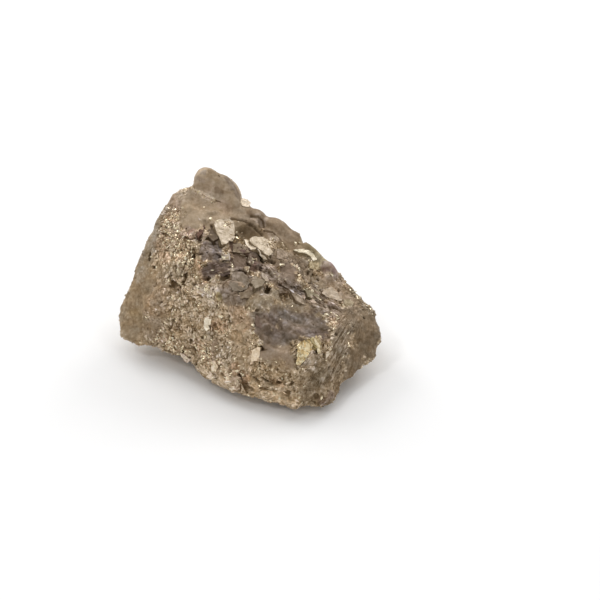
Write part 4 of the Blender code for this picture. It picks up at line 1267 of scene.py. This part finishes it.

# The grain of the material itself: how wide its lenses are in mm, how long they are against that, the tones
# of lenses, mottling and strands as factors, with the range of the noise that they spread over, where a gap
# between lenses begins and ends and how dark its painted shade is, where it closes, and how high lenses stand
# in mm. Scales of noises are in cells a metre.
GRAIN = 0.28
GRAIN_STRETCH = 2.4
GRAIN_TONES = (0.70, 1.38)
GRAIN_GAP = (0.02, 0.20)
GRAIN_SHADE = 0.42
GRAIN_HEIGHT = 0.10
GRAIN_GLOSS = (0.16, 0.62)
CREVICE_SCALE = 1300.0
CREVICE_RANGE = (0.45, 0.58)
MOTTLE_SCALE = 1600.0
MOTTLE_FINENESS = 0.68
MOTTLE_RANGE = (0.3, 0.7)
MOTTLE_TONES = (0.76, 1.24)
MOTTLE_HEIGHT = 0.5
STRAND_RANGE = (0.36, 0.64)
STRAND_TONES = (0.36, 1.66)
STRAND_GRAIN = 0.35


class Nodes:
    """Short ways to add shader nodes to a material."""

    def __init__(self, name):
        self.material = bpy.data.materials.new(name)
        self.material.use_nodes = True
        self.tree = self.material.node_tree
        self.shader = self.tree.nodes["Principled BSDF"]
        self.shader.inputs["Specular IOR Level"].default_value = SPECULAR

    def join(self, source, target):
        """Feeds a socket from a source, or sets it to a value."""
        if isinstance(source, bpy.types.NodeSocket):
            self.tree.links.new(source, target)
        else:
            target.default_value = source

    def add(self, kind, inputs=None, **settings):
        """Adds a node with these settings, and with sources or values for its inputs."""
        node = self.tree.nodes.new(kind)
        for field, value in settings.items():
            setattr(node, field, value)
        for socket, source in (inputs or {}).items():
            self.join(source, node.inputs[socket])
        return node

    def shade(self, inputs):
        """The material, with sources or values for its shader."""
        for socket, source in inputs.items():
            self.join(source, self.shader.inputs[socket])
        return self.material

    def attribute(self, name, output="Fac"):
        return self.add("ShaderNodeAttribute", attribute_name=name).outputs[output]

    def math(self, operation, first, second=0.0):
        return self.add("ShaderNodeMath", {0: first, 1: second}, operation=operation).outputs["Value"]

    def vector(self, operation, first, second=(0.0, 0.0, 0.0)):
        inputs = {0: first, "Scale" if operation == "SCALE" else 1: second}
        node = self.add("ShaderNodeVectorMath", inputs, operation=operation)
        return node.outputs["Value" if operation == "DOT_PRODUCT" else "Vector"]

    def ranged(self, source, low, high, to_low, to_high):
        inputs = {"Value": source, "From Min": low, "From Max": high, "To Min": to_low, "To Max": to_high}
        return self.add("ShaderNodeMapRange", inputs).outputs["Result"]

    def mixed(self, share, first, second):
        return self.add("ShaderNodeMix", {"Factor": share, 2: first, 3: second}, data_type="FLOAT").outputs[0]

    def cells(self, place, width, feature="F1"):
        inputs = {"Vector": place, "Scale": 1.0 / (width * MM)}
        return self.add("ShaderNodeTexVoronoi", inputs, feature=feature)

    def clouds(self, place, scale, detail, fineness=0.5):
        inputs = {"Vector": place, "Scale": scale, "Detail": detail, "Roughness": fineness}
        return self.add("ShaderNodeTexNoise", inputs).outputs["Fac"]


def ore_material(name, metallic, smooth_gloss, grain, tilt, shining=False):
    """Brassy ore: the painted tint, broken into lens-shaped grains that lie one way within an aggregate, or
    into strands, with a tone and a tilt of their own, and painted shade in the gaps between them."""
    nodes = Nodes(name)
    place = nodes.add("ShaderNodeTexCoord").outputs["Object"]
    tint = nodes.attribute("tint", "Color")
    rough = nodes.attribute("rough")
    strands = nodes.attribute("strands")

    aggregate = nodes.cells(place, AGGREGATE).outputs["Color"]
    lie = nodes.vector("NORMALIZE", nodes.vector("SUBTRACT", aggregate, (0.5, 0.5, 0.5)))
    along = nodes.vector("DOT_PRODUCT", place, lie)
    squeeze = nodes.math("MULTIPLY", along, 1.0 - 1.0 / GRAIN_STRETCH)
    squeezed = nodes.vector("SUBTRACT", place, nodes.vector("SCALE", lie, squeeze))
    own = nodes.cells(squeezed, GRAIN).outputs["Color"]
    rim = nodes.cells(squeezed, GRAIN, "DISTANCE_TO_EDGE").outputs["Distance"]
    parts = nodes.add("ShaderNodeSeparateColor", {"Color": own})
    bridge = nodes.ranged(nodes.clouds(place, CREVICE_SCALE, 1.0), *CREVICE_RANGE, 1.0, 0.0)
    gap = nodes.mixed(bridge, nodes.ranged(rim, *GRAIN_GAP, GRAIN_SHADE, 1.0), 1.0)
    grain_tone = nodes.math("MULTIPLY", nodes.ranged(parts.outputs[0], 0.0, 1.0, *GRAIN_TONES), gap)

    fan = nodes.add("ShaderNodeCombineXYZ", {"X": nodes.attribute("across"), "Y": nodes.attribute("along")})
    strand = nodes.clouds(fan.outputs["Vector"], 1.0, 3.0)
    strand_tone = nodes.ranged(strand, *STRAND_RANGE, *STRAND_TONES)

    mottle = nodes.clouds(place, MOTTLE_SCALE, 4.0, MOTTLE_FINENESS)
    mottle_tone = nodes.ranged(mottle, *MOTTLE_RANGE, *MOTTLE_TONES)
    grained = nodes.mixed(nodes.math("MULTIPLY", rough, grain), 1.0, grain_tone)
    strand_tone = nodes.math("MULTIPLY", strand_tone, nodes.mixed(STRAND_GRAIN, 1.0, grain_tone))
    tone = nodes.math("MULTIPLY", nodes.mixed(strands, grained, strand_tone), mottle_tone)
    powers = {k: nodes.math("POWER", tone, float(power)) for k, power in enumerate(TONE_POWERS)}
    colour = nodes.vector("MULTIPLY", tint, nodes.add("ShaderNodeCombineXYZ", powers).outputs["Vector"])
    grain_gloss = nodes.ranged(parts.outputs[1], 0.0, 1.0, *GRAIN_GLOSS)
    gloss = nodes.mixed(rough, smooth_gloss, grain_gloss)
    if shining:
        shine = nodes.attribute("shine")
        metallic = nodes.mixed(shine, metallic, SHINING_METAL)
        gloss = nodes.mixed(shine, gloss, SHINING_GLOSS)

    height = nodes.mixed(strands, nodes.math("MULTIPLY", gap, rough), strand)
    height = nodes.math("ADD", height, nodes.math("MULTIPLY", mottle, MOTTLE_HEIGHT))
    bump = nodes.add("ShaderNodeBump", {"Strength": grain, "Distance": GRAIN_HEIGHT * MM, "Height": height})
    lean = nodes.vector("SUBTRACT", own, (0.5, 0.5, 0.5))
    lean = nodes.vector("SCALE", lean, nodes.math("MULTIPLY", rough, tilt))
    leaning = nodes.vector("NORMALIZE", nodes.vector("ADD", bump.outputs["Normal"], lean))
    return nodes.shade({"Base Color": colour, "Metallic": metallic, "Roughness": gloss, "Normal": leaning})


# The floor: a white board, with its side in metres
FLOOR_SIDE = 3.0
FLOOR_COLOUR = (0.93, 0.93, 0.93, 1.0)
FLOOR_ROUGH = 0.50


def make_floor():
    bpy.ops.mesh.primitive_plane_add(size=FLOOR_SIDE)
    floor = bpy.context.object
    floor.name = "floor"
    board = Nodes("white board").shade({"Base Color": FLOOR_COLOUR, "Roughness": FLOOR_ROUGH})
    floor.data.materials.append(board)


# The studio: a white surround, and softboxes with their place and side in metres and their power in watts
SURROUND = 0.50
SOFTBOXES = {
    "back softbox": ((0.0, 0.25, 0.55), 0.60, 1.06),
    "back left softbox": ((-0.35, 0.35, 0.35), 0.30, 1.29),
    "back right softbox": ((0.35, 0.35, 0.35), 0.30, 0.99),
    "front left softbox": ((-0.24, -0.20, 0.46), 0.08, 0.30),
    "front right softbox": ((0.26, -0.26, 0.40), 0.06, 0.12),
}
LAMPS_AIM = Vector((0.0, 0.0, 0.01))


def softbox(name, place, side, power):
    light = bpy.data.lights.new(name, "AREA")
    light.shape = "SQUARE"
    light.size = side
    light.energy = power
    obj = link(bpy.data.objects.new(name, light))
    obj.location = place
    obj.rotation_euler = (LAMPS_AIM - Vector(place)).to_track_quat("-Z", "Y").to_euler()


def make_studio():
    scene = bpy.context.scene
    world = bpy.data.worlds.new("studio")
    world.use_nodes = True
    backdrop = world.node_tree.nodes["Background"]
    backdrop.inputs["Color"].default_value = (1.0, 1.0, 1.0, 1.0)
    backdrop.inputs["Strength"].default_value = SURROUND
    scene.world = world
    for name, (place, side, power) in SOFTBOXES.items():
        softbox(name, place, side, power)
    scene.view_settings.view_transform = "Standard"


def make_camera():
    data = bpy.data.cameras.new("camera")
    data.lens = LENS
    data.sensor_width = SENSOR
    data.clip_start = NEAREST
    camera = link(bpy.data.objects.new("camera", data))
    camera.location = EYE
    camera.rotation_euler = FORWARD.to_track_quat("-Z", "Y").to_euler()
    bpy.context.scene.camera = camera


def dress(piece, material):
    piece.data.materials.append(material)
    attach(piece, "root")


def main():
    make_camera()
    make_floor()
    make_studio()

    skin, tree = make_skin(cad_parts[NODE])
    ore, flake, bright, spark = [ore_material(name, **values) for name, values in MATERIALS.items()]
    for piece in parted(skin):
        dress(piece, ore)
        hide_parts(NODE)
    for name, flakes in FLAKE_SETS.items():
        dress(make_flakes(name, flakes, skin, tree), flake)
    for name, (outline, lift, colour, flecks) in FACETS.items():
        dress(slab(name, outline, lift, colour, flecks, tree), bright)
    dress(make_sparks(skin), spark)
    bpy.data.objects.remove(skin)


main()
